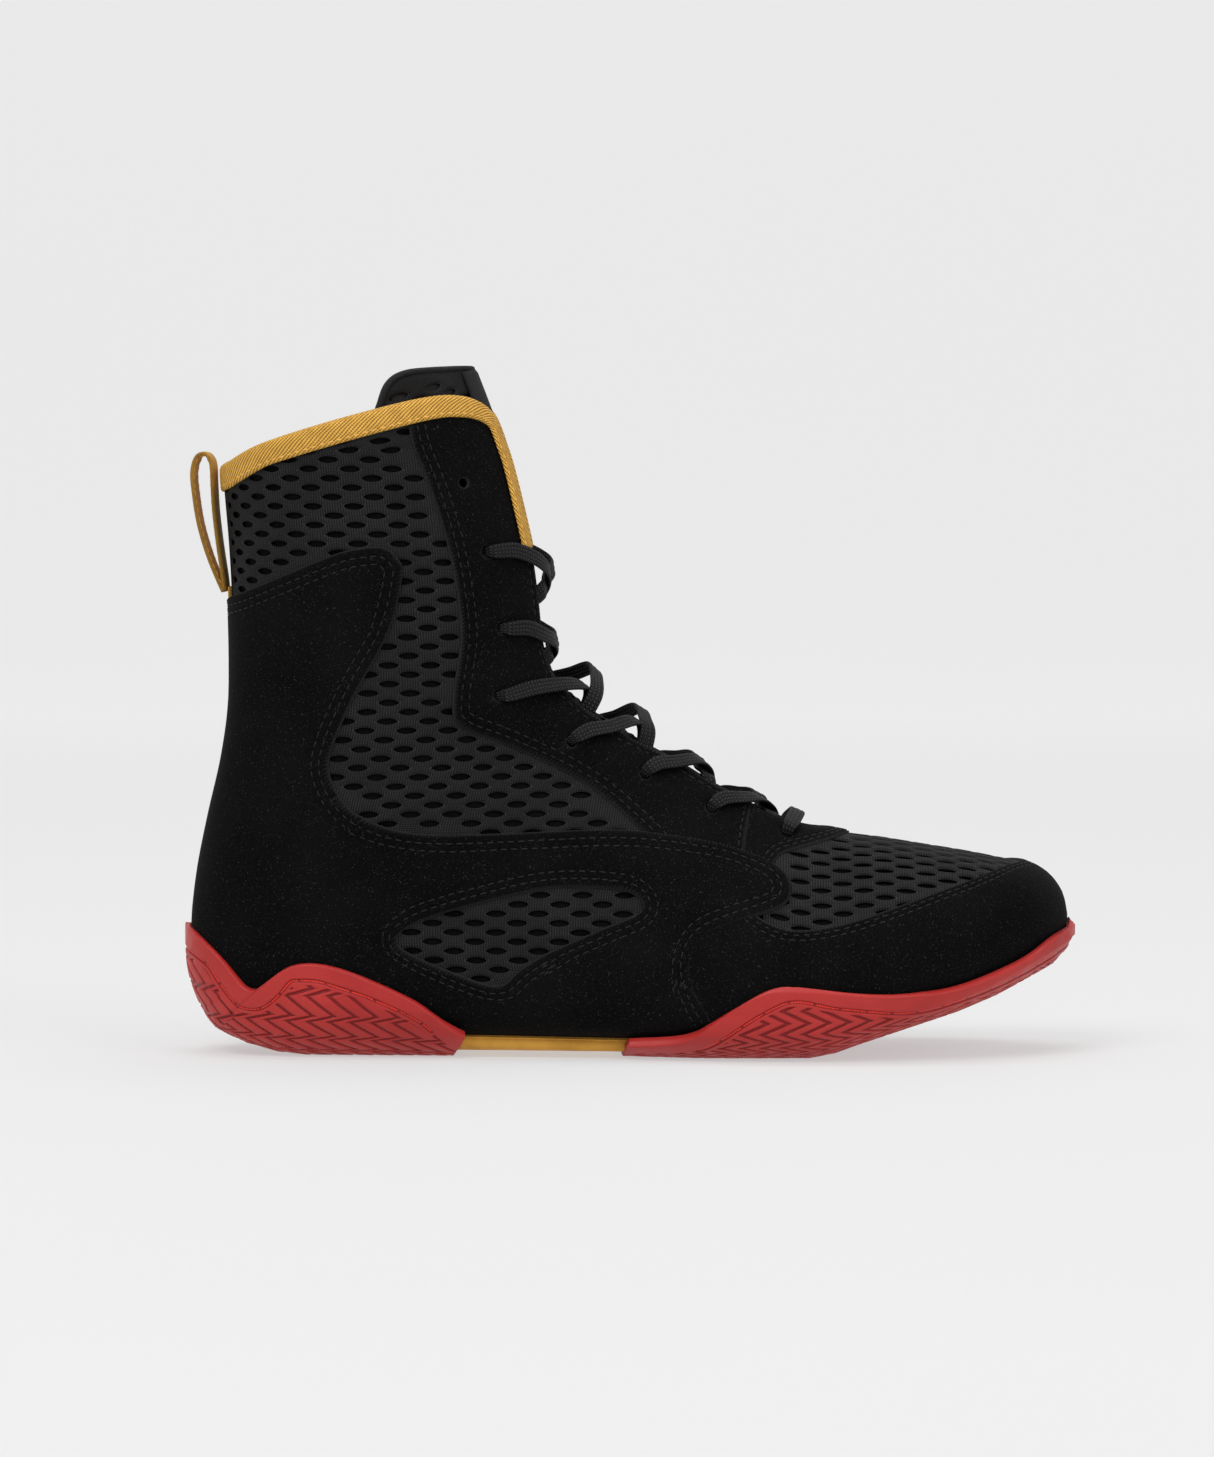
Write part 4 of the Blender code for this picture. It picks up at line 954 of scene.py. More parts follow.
def vamp_chart():
    """Top of the forefoot: x, and the distance down from the ridge, positive medial."""
    xs = np.arange(20.0, 141.0, 1.0)
    down = np.arange(-70.0, 71.0, 1.0)
    table, ups = [], []
    ridge = section(np.linspace(0, TOE, 500))[:, :2]
    for x in xs:
        ridge_z = np.interp(x, ridge[:, 0], ridge[:, 1]) + 0.1
        row, row_up = [], []
        for side in (LATERAL, MEDIAL):
            z = ridge_z - (ridge_z - 20.0) * (1 - np.cos(np.linspace(0, math.pi / 2, 90)))
            t, angle = locate(np.full(90, x), z, side)
            points = on_skin(t, angle)
            run = arc_length(points[:, 1:])
            wanted = np.abs(down[down < 0] if side == LATERAL else down[down >= 0])
            angle_at, t_at = np.interp(wanted, run, angle), np.interp(wanted, run, t)
            row.append(on_skin(t_at, angle_at))
            row_up.append(normals(t_at, angle_at))
        table.append(np.vstack(row))
        ups.append(np.vstack(row_up))
    points = np.array(table)

    def flat(outline, side):
        result = []
        for x, z in outline:
            i = int(np.clip(round(x - xs[0]), 0, len(xs) - 1))
            half = points[i][down >= 0] if side == MEDIAL else points[i][down <= 0][::-1]
            order = np.argsort(half[:, 2])
            result.append((x, side * np.interp(z, half[order, 2], np.arange(len(half))[order])))
        return np.array(result)

    return Chart(points, np.array(ups), (xs[0], down[0]), (1.0, 1.0)), flat


def knit_panel(name, chart, outline, nodes=(), body="boot", shift=(0.0, 0.0), flip=1):
    """Knit with open lens-shaped holes over a dark backing. outline is in the chart; flip is -1 for
    a chart whose first two directions turn the other way."""
    outline = spaced(outline, 1.4, True)
    low, high = outline.min(axis=0), outline.max(axis=0)
    edge = tree_of(outline)
    columns, rows = (
        range(int(math.floor(low[k] / pitch)) - 1, int(high[k] / pitch) + 2) for k, pitch in enumerate((COLUMN, ROW))
    )
    centres = np.array([
        (i * COLUMN + shift[0], (j + 0.5 * (i % 2)) * ROW + shift[1]) for i in columns for j in rows
    ])
    centres = centres[inside(centres, outline)]
    centres = centres[distances(edge, centres) > HOLE_LONG + 0.5]
    turns = np.arange(ROUND) * 2 * math.pi / ROUND

    def lens(grow):
        high_part = np.sign(np.sin(turns)) * np.abs(np.sin(turns)) ** 1.2
        return np.stack([(HOLE_LONG + grow) * np.cos(turns), (HOLE_HIGH + grow) * high_part], axis=1)

    points, edges = [outline], loop_edges(0, len(outline))
    count = len(outline)
    for centre in centres:
        edges += loop_edges(count, ROUND)
        points += [centre + lens(grow) for grow in (0.0, 0.4, 0.95)]
        count += 3 * ROUND
    grid = grid_of(*(np.arange(low[k], high[k], KNIT_STEP) for k in (0, 1)))
    grid = grid[inside(grid, outline)]
    centre_tree = tree_of(centres)

    def nearest(at):
        """How many hole sizes each place is from its nearest hole's centre, and where from it."""
        close = [[index for _, index, _ in centre_tree.find_n((*place, 0.0), 5)] for place in at]
        offsets = at[:, None] - centres[np.array(close)]
        size = np.hypot(offsets[..., 0] / HOLE_LONG, offsets[..., 1] / HOLE_HIGH)
        every, pick = np.arange(len(at)), size.argmin(axis=1)
        return size[every, pick], offsets[every, pick]

    size, _ = nearest(grid)
    grid = grid[size > 1.75]
    grid = grid[distances(edge, grid) > 0.8]

    def keep(at):
        offset = nearest(at)[1]
        rim = np.abs(np.clip(offset[:, 0] / HOLE_LONG, -1, 1))
        high_here = HOLE_HIGH * (1 - rim**2) ** 0.6
        return inside(at, outline) & ~((np.abs(offset[:, 1]) < high_here * 0.97) & (rim < 0.985))

    flat, faces = triangulated(np.vstack(points + [grid]), edges, keep)
    size, offset = nearest(flat)
    gap = np.clip((size - 1) / 0.75, 0, 1)
    height = -0.55 * (1 - gap) ** 1.5 + 0.1
    # cloth coordinates: ribs across, and courses that part round each hole
    reach = np.exp(-((offset[:, 0] / (HOLE_LONG * 1.1)) ** 2))
    fall = np.exp(-np.maximum(np.abs(offset[:, 1]) - HOLE_HIGH, 0) / 1.3)
    course = flat[:, 1] - np.sign(offset[:, 1]) * HOLE_HIGH * reach * fall
    cloth = np.tile(np.stack([flat[:, 0], course, gap * 2], axis=1), (2, 1))
    points, faces = thickened(chart(flat, height), faces, chart(flat, height - 0.5))
    mesh_piece(name, points, faces[:, ::flip], MESH, cloth=cloth, body=body, nodes=nodes, slot="mesh")
    plain = np.vstack([outline, grid[::3]])
    flat, faces = triangulated(plain, loop_edges(0, len(outline)), lambda at: inside(at, outline))
    points, faces = thickened(chart(flat, UNDERKNIT_FACE), faces, chart(flat, UNDERKNIT_FACE - 0.2))
    mesh_piece(name + "_backing", points, faces[:, ::flip], UNDERKNIT, body=body, slot="lining")


def make_knit():
    collar = smoothed(COLLAR)
    for side_name, side in (("lateral", LATERAL), ("medial", MEDIAL)):
        chart, flat = side_chart(side)
        shaft_top = [p - np.array([0.0, 1.5]) for p in collar if p[0] < -68.0]
        shaft = [
            (-131.6, 143.0), *shaft_top, *[(x + 3.0, z) for x, z in EYESTAY_REAR[1:-1]], (6.0, 69.0), (-40.0, 69.0),
            (-74.0, 69.5), (-91.0, 76.0), (-100.0, 88.0), (-100.0, 102.0), (-92.5, 119.5), (-81.5, 140.0),
            (-79.0, 156.0), (-82.0, 160.5), (-95.0, 158.0), (-120.0, 147.5),
        ]
        outline = flat(shaft)
        outline[0, 0] = outline[1, 0] = 0.15
        nodes = (f"{side_name}_mesh_quarter",)
        knit_panel(f"{side_name}_knit_shaft", chart, outline, nodes, flip=-side, shift=(1.5, 1.0))
        window = [
            (-79.0, 39.5), (-70.0, 48.0), (-46.3, 54.5), (-26.0, 58.8), (-5.0, 58.5), (5.0, 55.0), (7.0, 46.0),
            (-8.0, 39.0), (-24.0, 31.5), (-33.0, 26.0), (-42.5, 20.5), (-59.0, 25.2), (-76.0, 32.6),
        ]
        outline = flat(smoothed([*window, window[0]])[:-1])
        knit_panel(f"{side_name}_knit_window", chart, outline, flip=-side, shift=(0.5, 2.2))
    chart, flat = vamp_chart()
    top = smoothed(((44.0, 62.5), (48.0, 68.0), (60.0, 70.0), (66.0, 71.4), (67.5, 71.6)))
    low = smoothed(((42.0, 42.0), (52.7, 38.8), (70.0, 41.0), (98.7, 50.0), (121.0, 57.0), (131.0, 59.5)))
    lateral, medial = (np.vstack([flat(top, side)[::-1], flat(low, side)]) for side in (LATERAL, MEDIAL))
    lateral[0, 1] = medial[0, 1] = lateral[-1, 1] = medial[-1, 1] = 0.0
    outline = np.vstack([lateral, medial[::-1][1:-1]])
    knit_panel("vamp_knit", chart, outline, ("vamp_mesh",), flip=-1)


# --- sweeps: binding, lace, pull loop ------------------------------------------------------------


def swept(name, rings, cloth, material, **kwargs):
    """Solid through rings of equal length; cloth gives one coordinate pair for each point."""
    count, total = len(rings[0]), len(rings)
    faces = [
        (a + k, a + n, a + n + count, a + k + count)
        for a in range(0, (total - 1) * count, count)
        for k, n in loop_edges(0, count)
    ]
    faces += [tuple(reversed(range(count))), tuple(range((total - 1) * count, total * count))]
    mesh_piece(name, np.vstack(rings), faces, material, cloth=np.vstack(cloth), **kwargs)


def collar_line():
    """Chart line of the bound edge: up one side of the throat, round the collar, down the other."""
    start = locate(-33.0, 168.5, LATERAL)[0][0]
    rise = throat_line(start + 0.25, start - 1.7, LATERAL)[::4]
    corner = to_chart([p for p in smoothed(COLLAR)[::-1] if p[0] < -41.8][:-1], LATERAL)
    corner = corner[corner[:, 0] < rise[-1, 0] - 0.05]
    back_t = locate(*COLLAR[0], LATERAL)[0][0]
    shares = np.linspace(0, 1, 8)[1:-1]
    turn = corner[-1] + (np.array([back_t, -math.pi]) - corner[-1]) * shares[:, None]
    half = np.vstack([rise, corner, turn])
    other = half[::-1] * [1, -1]
    half[:, 1] += 2 * math.pi
    return np.vstack([half, [(back_t, math.pi)], other])


def make_binding():
    line = spaced_on_skin(smoothed(collar_line(), 3), 1.0)
    points = skin_chart(line)
    out = normals(*line.T)
    into = unit(np.cross(out, unit(np.gradient(points, axis=0))))
    arc = arc_length(points)
    front = np.interp(points[:, 0], (-84.0, -66.0), (0.25, 1.25))
    reach = np.interp(points[:, 0], (-131.0, -118.0, -60.0), (7.6, 6.4, 6.1))
    inner = -5.2
    rings, cloth = [], []
    for i in range(len(line)):
        low, deep = front[i], reach[i]
        profile = (
            (low, deep, 0.0), (low + 0.55, deep - 0.1, 0.6), (low + 0.95, deep - 0.7, 1.3),
            (low + 1.0, deep * 0.6, 3.5), (low + 0.95, deep * 0.3, 5.3), (low + 0.8, 0.5, 7.0),
            (low + 0.3, -0.6, 8.3), (low - 0.7, -1.3, 9.6), (inner / 2, -1.55, 12.0), (inner - 0.1, -1.2, 14.4),
            (inner - 0.9, -0.4, 15.6), (inner - 1.2, 0.8, 17.0), (inner - 1.2, deep * 0.5, 19.5),
            (inner - 1.1, deep, 22.6), (inner - 0.3, deep, 23.4), (inner, deep - 0.4, 24.0),
            (inner, 1.2, 28.0), (low, 1.2, 33.0),
        )
        across, along, woven = np.array(profile).T
        rings.append(points[i] + out[i] * across[:, None] + into[i] * along[:, None])
        cloth.append(np.stack([np.full(len(profile), arc[i]), woven], axis=1))
    swept("collar_binding_tape", rings, cloth, GOLD_TAPE, nodes=("collar_binding",), slot="gold_tape")
    line = points + out * (front + 0.95)[:, None] + into * (reach * 0.80)[:, None]
    stitches("collar_binding_stitches", [(line, out)], GOLD_THREAD, length=2.0, gap=0.9, width=0.5, slot="gold_tape")


LACE_WIDTH, LACE_THICK = 5.2, 1.3
# half of the lace's cross-section, as shares of its width and thickness
LACE_TOP = (
    (-1, 0.0), (-0.93, 0.6), (-0.72, 0.95), (-0.36, 0.8), (0, 1.0), (0.36, 0.8), (0.72, 0.95), (0.93, 0.6), (1, 0.0),
)
# how far a leg from a row of eyelets stands off, in millimetres
SLACK = {(4, MEDIAL): 6.2, (3, MEDIAL): 4.2, (6, MEDIAL): 1.6, (6, LATERAL): 0.6}


def at(t, angle, offset, width):
    """One place on the lace's way, and its width there."""
    return skin(t, angle, offset)[0], width


def eyelet(row, side):
    return (float(v[0]) for v in locate(*EYELETS[row], side))


def lace_leg(row, side, last):
    """Route from one eyelet to the next lower one opposite, as (point, width) pairs."""
    t, angle = eyelet(row, side)
    low_t, low_angle = eyelet(row - 1, -side)
    span = low_t - t
    edge, far = float(throat_angle(t, 1.5)[0]), float(throat_angle(low_t, 3.0)[0])
    slack = SLACK.get((row, side), 0.0)
    over, crossing = (3.2, 1.9) if side == LATERAL else (3.8, -0.1)

    route = [
        at(t, angle * 1.02, -1.6, 3.0),
        at(t, angle * 0.99, 1.6, 3.6),
        at(t + 0.02 * span, angle * 0.94, over - 0.4, 4.6),
        at(t + 0.08 * span, (angle + side * edge) / 2, over, LACE_WIDTH),
        at(t + 0.25 * span, side * edge, over - 0.2 + 0.6 * slack, LACE_WIDTH),
        at(t + 0.42 * span, side * edge * 0.5, over - 0.7 + slack, LACE_WIDTH),
        at(t + 0.56 * span, 0.0, crossing - 0.8 + slack, LACE_WIDTH),
        at(t + 0.7 * span, -side * far * 0.4, -0.8 + 0.5 * slack, LACE_WIDTH),
        at(t + 0.82 * span, -side * far * 0.8, -4.2, LACE_WIDTH),
        at(t + 0.9 * span, -side * far * 1.15, -5.9, LACE_WIDTH),
        at(low_t, low_angle * 0.96, -5.4, 3.8),
    ]
    if last:
        route.append(at(low_t, low_angle, -1.6, 3.0))
    return route


def make_lace():
    halves = []
    for first in (LATERAL, MEDIAL):
        t, angle = eyelet(6, first)
        route = [at(t - 0.5, angle * 1.6, -5.9, LACE_WIDTH), at(t - 0.1, angle * 1.15, -5.9, 4.6)]
        side = first
        for row in range(6, 0, -1):
            route += lace_leg(row, side, row == 1)
            side = -side
        halves.append(route)
    t, angle = eyelet(0, LATERAL)
    t_m, angle_m = eyelet(0, MEDIAL)
    edge = float(throat_angle(t, 1.0)[0])
    bar = [
        at(t, angle * 0.97, 2.6, 4.2), at(t, (angle - edge) / 2, 3.2, LACE_WIDTH),
        at(t, -edge * 0.5, 3.3, LACE_WIDTH), at(t, 0.0, 3.2, LACE_WIDTH), at(t, edge * 0.5, 3.3, LACE_WIDTH),
        at(t_m, (angle_m + edge) / 2, 3.2, LACE_WIDTH), at(t_m, angle_m * 0.97, 2.6, 4.2),
    ]
    route = halves[0] + bar + halves[1][::-1]
    data = smoothed([[*point, width] for point, width in route], 6)
    points, widths = data[:, :3], data[:, 3]
    run = unit(np.gradient(points, axis=0))
    t = locate(points[:, 0], points[:, 2], MEDIAL)[0]
    zero = np.zeros(len(t))
    down = unit(on_skin(t + 0.1, zero) - on_skin(t - 0.1, zero))
    wide = unit(down - run * (down * run).sum(1)[:, None])
    for _ in range(2):
        wide = relaxed(wide, 1)
        wide = unit(wide - run * (wide * run).sum(1)[:, None])
    thick = np.cross(run, wide)
    arc = arc_length(points)
    profile = [*LACE_TOP, *[(a, -b) for a, b in reversed(LACE_TOP[1:-1])]]
    rings, cloth = [], []
    for i in range(len(points)):
        half = widths[i] / 2
        plump = LACE_THICK / 2 * (1 + 0.5 * (1 - widths[i] / LACE_WIDTH))
        rings.append(np.array([points[i] + wide[i] * a * half + thick[i] * b * plump for a, b in profile]))
        cloth.append(np.array([(arc[i], a * LACE_WIDTH / 2) for a, _ in profile]))
    swept("lace_braid", rings, cloth, LACE, nodes=("lace",), slot="lace")


def make_pull_loop():
    step = 0.8
    line = spaced(smoothed(LOOP_LINE), step)
    run = unit(np.gradient(line, axis=0))
    left = np.stack([-run[:, 1], run[:, 0]], axis=1)
    arc = np.arange(len(line)) * step
    rings, cloth = [], []
    across = np.array((-5.5, -5.3, -2.5, 0.0, 2.5, 5.3, 5.5, 5.3, 2.5, 0.0, -2.5, -5.3))
    depth = np.array((0.0, 0.5, 0.58, 0.6, 0.58, 0.5, 0.0, -0.5, -0.58, -0.6, -0.58, -0.5))
    for here, side, at in zip(line, left, arc):
        flat = here + side * depth[:, None]
        rings.append(np.stack([flat[:, 0] + across * 0.1, across, flat[:, 1]], axis=1))
        cloth.append(np.stack([np.full(12, at), across + 5.5 * np.sign(depth)], axis=1))
    swept("pull_loop_tape", rings, cloth, GOLD_TAPE, body="pull_loop", nodes=("heel_pull_loop",), slot="gold_tape")
    lines = []
    for y in (-4.2, 4.2):
        outer = line - left * 0.62
        path = np.stack([outer[:, 0] + y * 0.1, np.full(len(line), y), outer[:, 1]], axis=1)
        lines.append((path[2:-2], np.stack([-left[:, 0], 0 * arc, -left[:, 1]], axis=1)[2:-2]))
    stitches("pull_loop_stitches", lines, GOLD_THREAD, 1.8, 0.9, 0.4, body="pull_loop", slot="gold_tape")
    # sewn end of the tape, flat on the back of the shaft under the suede's edge
    low, high = (float(locate([LOOP_LINE[0][0]], [z], LATERAL)[0][0]) for z in (143.5, 150.8))
    rings, cloth = [], []
    for t in np.linspace(high, low, 10):
        turn = np.clip(across / float(section(np.array([t]))[0, 4]), -1, 1)
        face = skin(np.full(12, t), math.pi - turn, 0.75 + depth)
        rings.append(face)
        cloth.append(np.stack([np.full(12, face[0, 2]), across + 5.5 * np.sign(depth)], axis=1))
    swept("pull_loop_tab", rings, cloth, GOLD_TAPE, slot="gold_tape")


# --- tongue, lining, insole ----------------------------------------------------------------------

TONGUE_SINK, TONGUE_CROWN, TONGUE_BASE = 8.3, 5.0, 17.2
# millimetres of the chart above the first section
ABOVE = 16
COLUMNS = np.arange(-58.0, 59.0, 1.0)


def tongue_point(t, share, depth):
    """Points under the skin: share runs from -1 to 1 across the tongue, depth into the boot."""
    row = section(t)
    front = np.stack([row[:, 0], row[:, 1]], axis=1)
    chord = row[:, 2:4] - front
    length = np.linalg.norm(chord, axis=1)
    reach = lookup(((0.0, 1.36), (5.0, 1.22), (12.0, 1.0), (17.2, 0.8)), t)
    angle = share * reach
    crown = TONGUE_CROWN * np.exp(-((angle * row[:, 4] / 9.0) ** 2)) * np.minimum((TONGUE_BASE - t) / 3, 1)
    sunk = depth + TONGUE_SINK - crown
    half = row[:, 4] - TONGUE_SINK - depth
    y = row[:, 5] + np.sign(angle) * half * np.abs(np.sin(angle)) ** (2 / row[:, 7])
    along = (row[:, 6] * length - sunk) * (1 - np.cos(angle) ** (2 / row[:, 7])) + sunk
    place = front + chord / length[:, None] * along[:, None]
    return np.stack([place[:, 0], y, place[:, 1]], axis=1)


def tongue_chart():
    """Tongue's outer face: millimetres across from its middle, and along from the first section."""
    ts = np.linspace(0.0, TONGUE_BASE - 0.02, 190)
    middle = tongue_point(ts, np.zeros(190), np.zeros(190))
    run = arc_length(middle)
    t_at = np.interp(np.arange(0.0, run[-1], 1.0), run, ts)
    shares = np.linspace(-1, 1, 121)
    table = []
    for t in t_at:
        arc = arc_length(tongue_point(np.full(121, t), shares, np.zeros(121)))
        picked = np.interp(COLUMNS, arc - arc[60], shares)
        table.append(tongue_point(np.full(len(COLUMNS), t), picked, np.zeros(len(COLUMNS))))
    points = np.array(table).transpose(1, 0, 2)
    # straight on past the last section, for the tongue's top
    rise = points[:, :1] - points[:, 4:5]
    rise /= np.linalg.norm(rise, axis=2)[..., None]
    points = np.concatenate([points[:, :1] + rise * np.arange(ABOVE, 0, -1.0)[None, :, None], points], axis=1)
    along_u, along_v = np.gradient(points, axis=0), np.gradient(points, axis=1)
    up = -np.cross(along_u, along_v)
    length = np.linalg.norm(up, axis=2)[..., None]
    up = np.where(length > 1e-6, up / np.maximum(length, 1e-6), 0)
    # past the tongue's edge the table repeats its last point: carry the last good direction outward
    middle_index = len(COLUMNS) // 2
    for j in range(points.shape[1]):
        for order in (range(middle_index, len(COLUMNS)), range(middle_index, -1, -1)):
            last = up[middle_index, j]
            for i in order:
                if length[i, j, 0] < 0.3:
                    up[i, j] = last
                last = up[i, j]
    half = np.linspace(0, 1, 61)
    widths = [arc_length(tongue_point(np.full(61, t), half, np.zeros(61)))[-1] for t in t_at]
    widths = np.concatenate([np.full(ABOVE, widths[0]), widths])
    return Chart(points, up, (COLUMNS[0], -ABOVE), (1.0, 1.0)), widths, run[-1]


def make_tongue():
    chart, widths, length = tongue_chart()
    downs = np.arange(len(widths)) - float(ABOVE)
    table = chart.points
    # the tongue's top follows the side outline: the first row of the chart below it, for each column
    top = smoothed(TONGUE_TOP)
    begin = []
    for i in range(len(COLUMNS)):
        x, z = table[i, :, 0], table[i, :, 2]
        over = z - np.interp(x, top[:, 0], top[:, 1], left=-1e9)
        first = np.nonzero(over <= 0)[0][0]
        part = over[first - 1] / (over[first - 1] - over[first]) if 0 < first and over[first - 1] < 50 else 1.0
        begin.append(downs[first] - 1 + part)
    begin = relaxed(np.array(begin), 6)
    outline = [(-np.interp(v, downs, widths), v) for v in np.arange(length - 1.0, -ABOVE, -1.5)]
    left = np.array([p for p in outline if p[1] > np.interp(p[0], COLUMNS, begin) + 1.0])
    right = left[::-1] * [-1, 1]
    edge_u = left[-1, 0]
    us = np.linspace(edge_u + 1.0, -edge_u - 1.0, 60)
    crest = np.stack([us, np.interp(us, COLUMNS, begin)], axis=1)
    outline = np.vstack([left, crest, right])
    knit_panel("tongue_knit", chart, outline, ("tongue_cover",), body="tongue", flip=-1, shift=(3.4, 0.0))
    ring = spaced(outline, 2.0, True)
    flat, faces, gap = filled(ring, np.arange(-57, 58, 2.5), np.arange(-ABOVE, length, 2.5), 1.2)
    round_off = np.sqrt(1 - (1 - np.clip(gap / 4.0, 0, 1)) ** 2)
    for name, material, outer, inner, node, slot in (
        ("tongue_pad", FOAM, -1.25 - 1.2 * (1 - round_off), -2.6 - 1.9 * round_off, "tongue_foam", "foam"),
        ("tongue_lining_cloth", BACKING, -2.9 - 1.8 * round_off, -3.5 - 1.8 * round_off, "tongue_lining", "lining"),
    ):
        points, closed = thickened(chart(flat, outer), faces, chart(flat, inner))
        piece = mesh_piece(name, points, closed[:, ::-1], material, body="tongue", nodes=(node,), slot=slot)
    # binding round the tongue's free edge
    free = spaced(np.vstack([left[len(left) // 3 :], crest, right[: -(len(right) // 3)]]), 1.2)
    rings, cloth = [], []
    here = chart(free, 0.0)
    up = chart(free, 1.0) - here
    out = np.cross(up, unit(np.gradient(here, axis=0)))
    turns = np.linspace(0, 2 * math.pi, 15)[:-1]
    for k in range(len(free)):
        centre = here[k] - up[k] * 1.6 + out[k] * 0.4
        rings.append(centre + np.cos(turns)[:, None] * up[k] * 2.3 + np.sin(turns)[:, None] * out[k] * 1.3)
        cloth.append(np.stack([np.full(14, k * 1.2), turns * 1.8], axis=1))
    swept("tongue_edge_tape", rings, cloth, LABEL, body="tongue", slot="label")
    # smooth label band down the middle of the front
    band = np.array([(-8.5, begin[50] + 1.0), (8.5, begin[66] + 1.0), (8.5, 52.0), (-8.5, 52.0)])
    ring = spaced(band, 1.2, True)
    flat, faces, gap = filled(ring, np.arange(-8, 9, 1.3), np.arange(-ABOVE, 54, 1.3), 0.5)
    points, faces = thickened(chart(flat, 1.1 - 0.5 * np.clip(1 - gap, 0, 1) ** 2), faces, chart(flat, 0.2))
    mesh_piece(
        "tongue_label_band", points, faces[:, ::-1], LABEL, cloth=np.vstack([flat, flat]), body="tongue",
        nodes=("tongue_label",), slot="label",
    )


# both faces of the lining, from the skin
LINING = (-3.5, -4.4)


def make_lining():
    """Smooth inner face of the boot, all round."""
    collar = smoothed(COLLAR)
    top_l = to_chart([p - np.array([0, 1.2]) for p in collar[::-1] if p[0] < -42.0], LATERAL)
    top_l[:, 1] += 2 * math.pi
    top_m = to_chart([p - np.array([0, 1.2]) for p in collar if p[0] < -42.0], MEDIAL)
    front_m = throat_line(0.9, 16.8, MEDIAL, 2.0)
    front_l = throat_line(16.8, 0.9, LATERAL, 2.0)
    front_m, front_l = front_m[front_m[:, 0] > top_m[-1, 0] + 0.05], front_l[front_l[:, 0] > top_l[0, 0] + 0.05]
    front_l[:, 1] += 2 * math.pi
    end = np.stack([np.full(40, 16.8), np.linspace(front_m[-1, 1], front_l[0, 1], 40)], axis=1)[1:-1]
    outline = np.vstack([top_m, front_m, end, front_l, top_l])
    suede_panel(
        "shaft_lining", outline, [], LINING[0], ("lateral_lining", "medial_lining"), material=BACKING, floor=LINING[1],
        step=4.5, slot="lining",
    )
    rows, turns = np.linspace(16.7, 26.9, 34), np.linspace(0, 2 * math.pi, 61)[:-1]
    t, angle = grid_of(rows, turns).T
    outer, inner = (skin(t, angle, face) for face in LINING)
    keep = (np.abs(angle - math.pi) < math.pi - throat_angle(np.minimum(t, 17.6), 1.0)) | (t > 17.7)
    faces = []
    for i in range(len(rows) - 1):
        for j in range(60):
            ids = (i * 60 + j, i * 60 + (j + 1) % 60, (i + 1) * 60 + (j + 1) % 60, (i + 1) * 60 + j)
            if all(keep[k] for k in ids):
                faces += [(ids[0], ids[1], ids[2]), (ids[0], ids[2], ids[3])]
    points, faces = compact(*thickened(outer, faces, inner))
    mesh_piece("toe_lining", points, faces, BACKING, nodes=("vamp_lining",), slot="lining")


def bottom_pad(name, layer, span, material, node, body="boot", half=0.98):
    """Plate along the bottom of the foot, with rounded edges."""
    rows, columns = 90, 30
    ts, turns = np.linspace(*span, rows), np.linspace(math.pi - half, math.pi + half, columns)
    t, angle = grid_of(ts, turns).T
    share = np.abs(angle - math.pi) / half
    ends = np.clip(np.minimum(t - span[0], span[1] - t) / 0.35, 0, 1)
    fade = np.sqrt(np.clip(1 - share**6, 0, 1)) * np.sqrt(1 - (1 - ends) ** 2)
    middle, thick = (layer[0] + layer[1]) / 2, (layer[1] - layer[0]) / 2
    half_here = thick * np.maximum(fade, 0.08)
    lower, upper = skin(t, angle, middle + half_here), skin(t, angle, middle - half_here)
    points, faces = thickened(lower, grid_faces(rows, columns), upper)
    return mesh_piece(name, points, faces, material, body=body, nodes=(node,))


def make_insole():
    pad = bottom_pad("sockliner_pad", (-9.6, -6.7), (11.1, 23.9), FOAM, "sockliner", body="sockliner")
    rows, turns = np.linspace(0.9, 7.0, 40), np.linspace(math.radians(70), math.radians(290), 90)
    t, angle = grid_of(rows, turns).T
    skin_points = on_skin(t, angle)
    collar = smoothed(COLLAR)
    top = np.interp(skin_points[:, 0], collar[:, 0], collar[:, 1])
    share = np.clip((top - 6.0 - skin_points[:, 2]) / 8.0, 0.0, 1.0) * np.clip((7.0 - t) / 0.8, 0, 1)
    share *= np.clip((np.abs(math.radians(110) - np.abs(angle - math.pi))) / 0.25, 0, 1)
    fade = np.maximum(np.sqrt(share), 0.05)
    outer, inner = skin(t, angle, -2.5 + 0.5 * fade), skin(t, angle, -2.5 - 0.5 * fade)
    faces = grid_faces(40, 90, skin_points[:, 2] < top - 5.0)
    points, faces = compact(*thickened(outer, faces, inner))
    nodes = ("lateral_collar_foam", "medial_collar_foam")
    pad = mesh_piece("collar_pad", points, faces[:, ::-1], FOAM, nodes=nodes, slot="foam")


# --- sole ----------------------------------------------------------------------------------------


# Inner and outer face of the rubber from the skin, and how much further both lie under the foot
CUP_INNER, CUP_OUTER, CUP_SWELL = 1.9, 3.7, 1.7


def foot_share(t, angle):
    across = (math.radians(75) - np.abs(angle - math.pi)) / math.radians(15)
    along = np.minimum((t - 10.5) / 0.5, TOE - 1 - t)
    return np.clip(across, 0, 1) * np.clip(along, 0, 1)


def cup_point(t, angle, offset):
    return skin(t, angle, offset + CUP_SWELL * foot_share(t, angle))


def rubber_point(t, angle):
    """Outer face of the cup sole."""
    point, under = cup_point(t, angle, CUP_OUTER), cup_point(t, np.full(len(t), math.pi), CUP_OUTER)
    return lowered(point, under, lookup(GROUND, point[:, 0]), t)


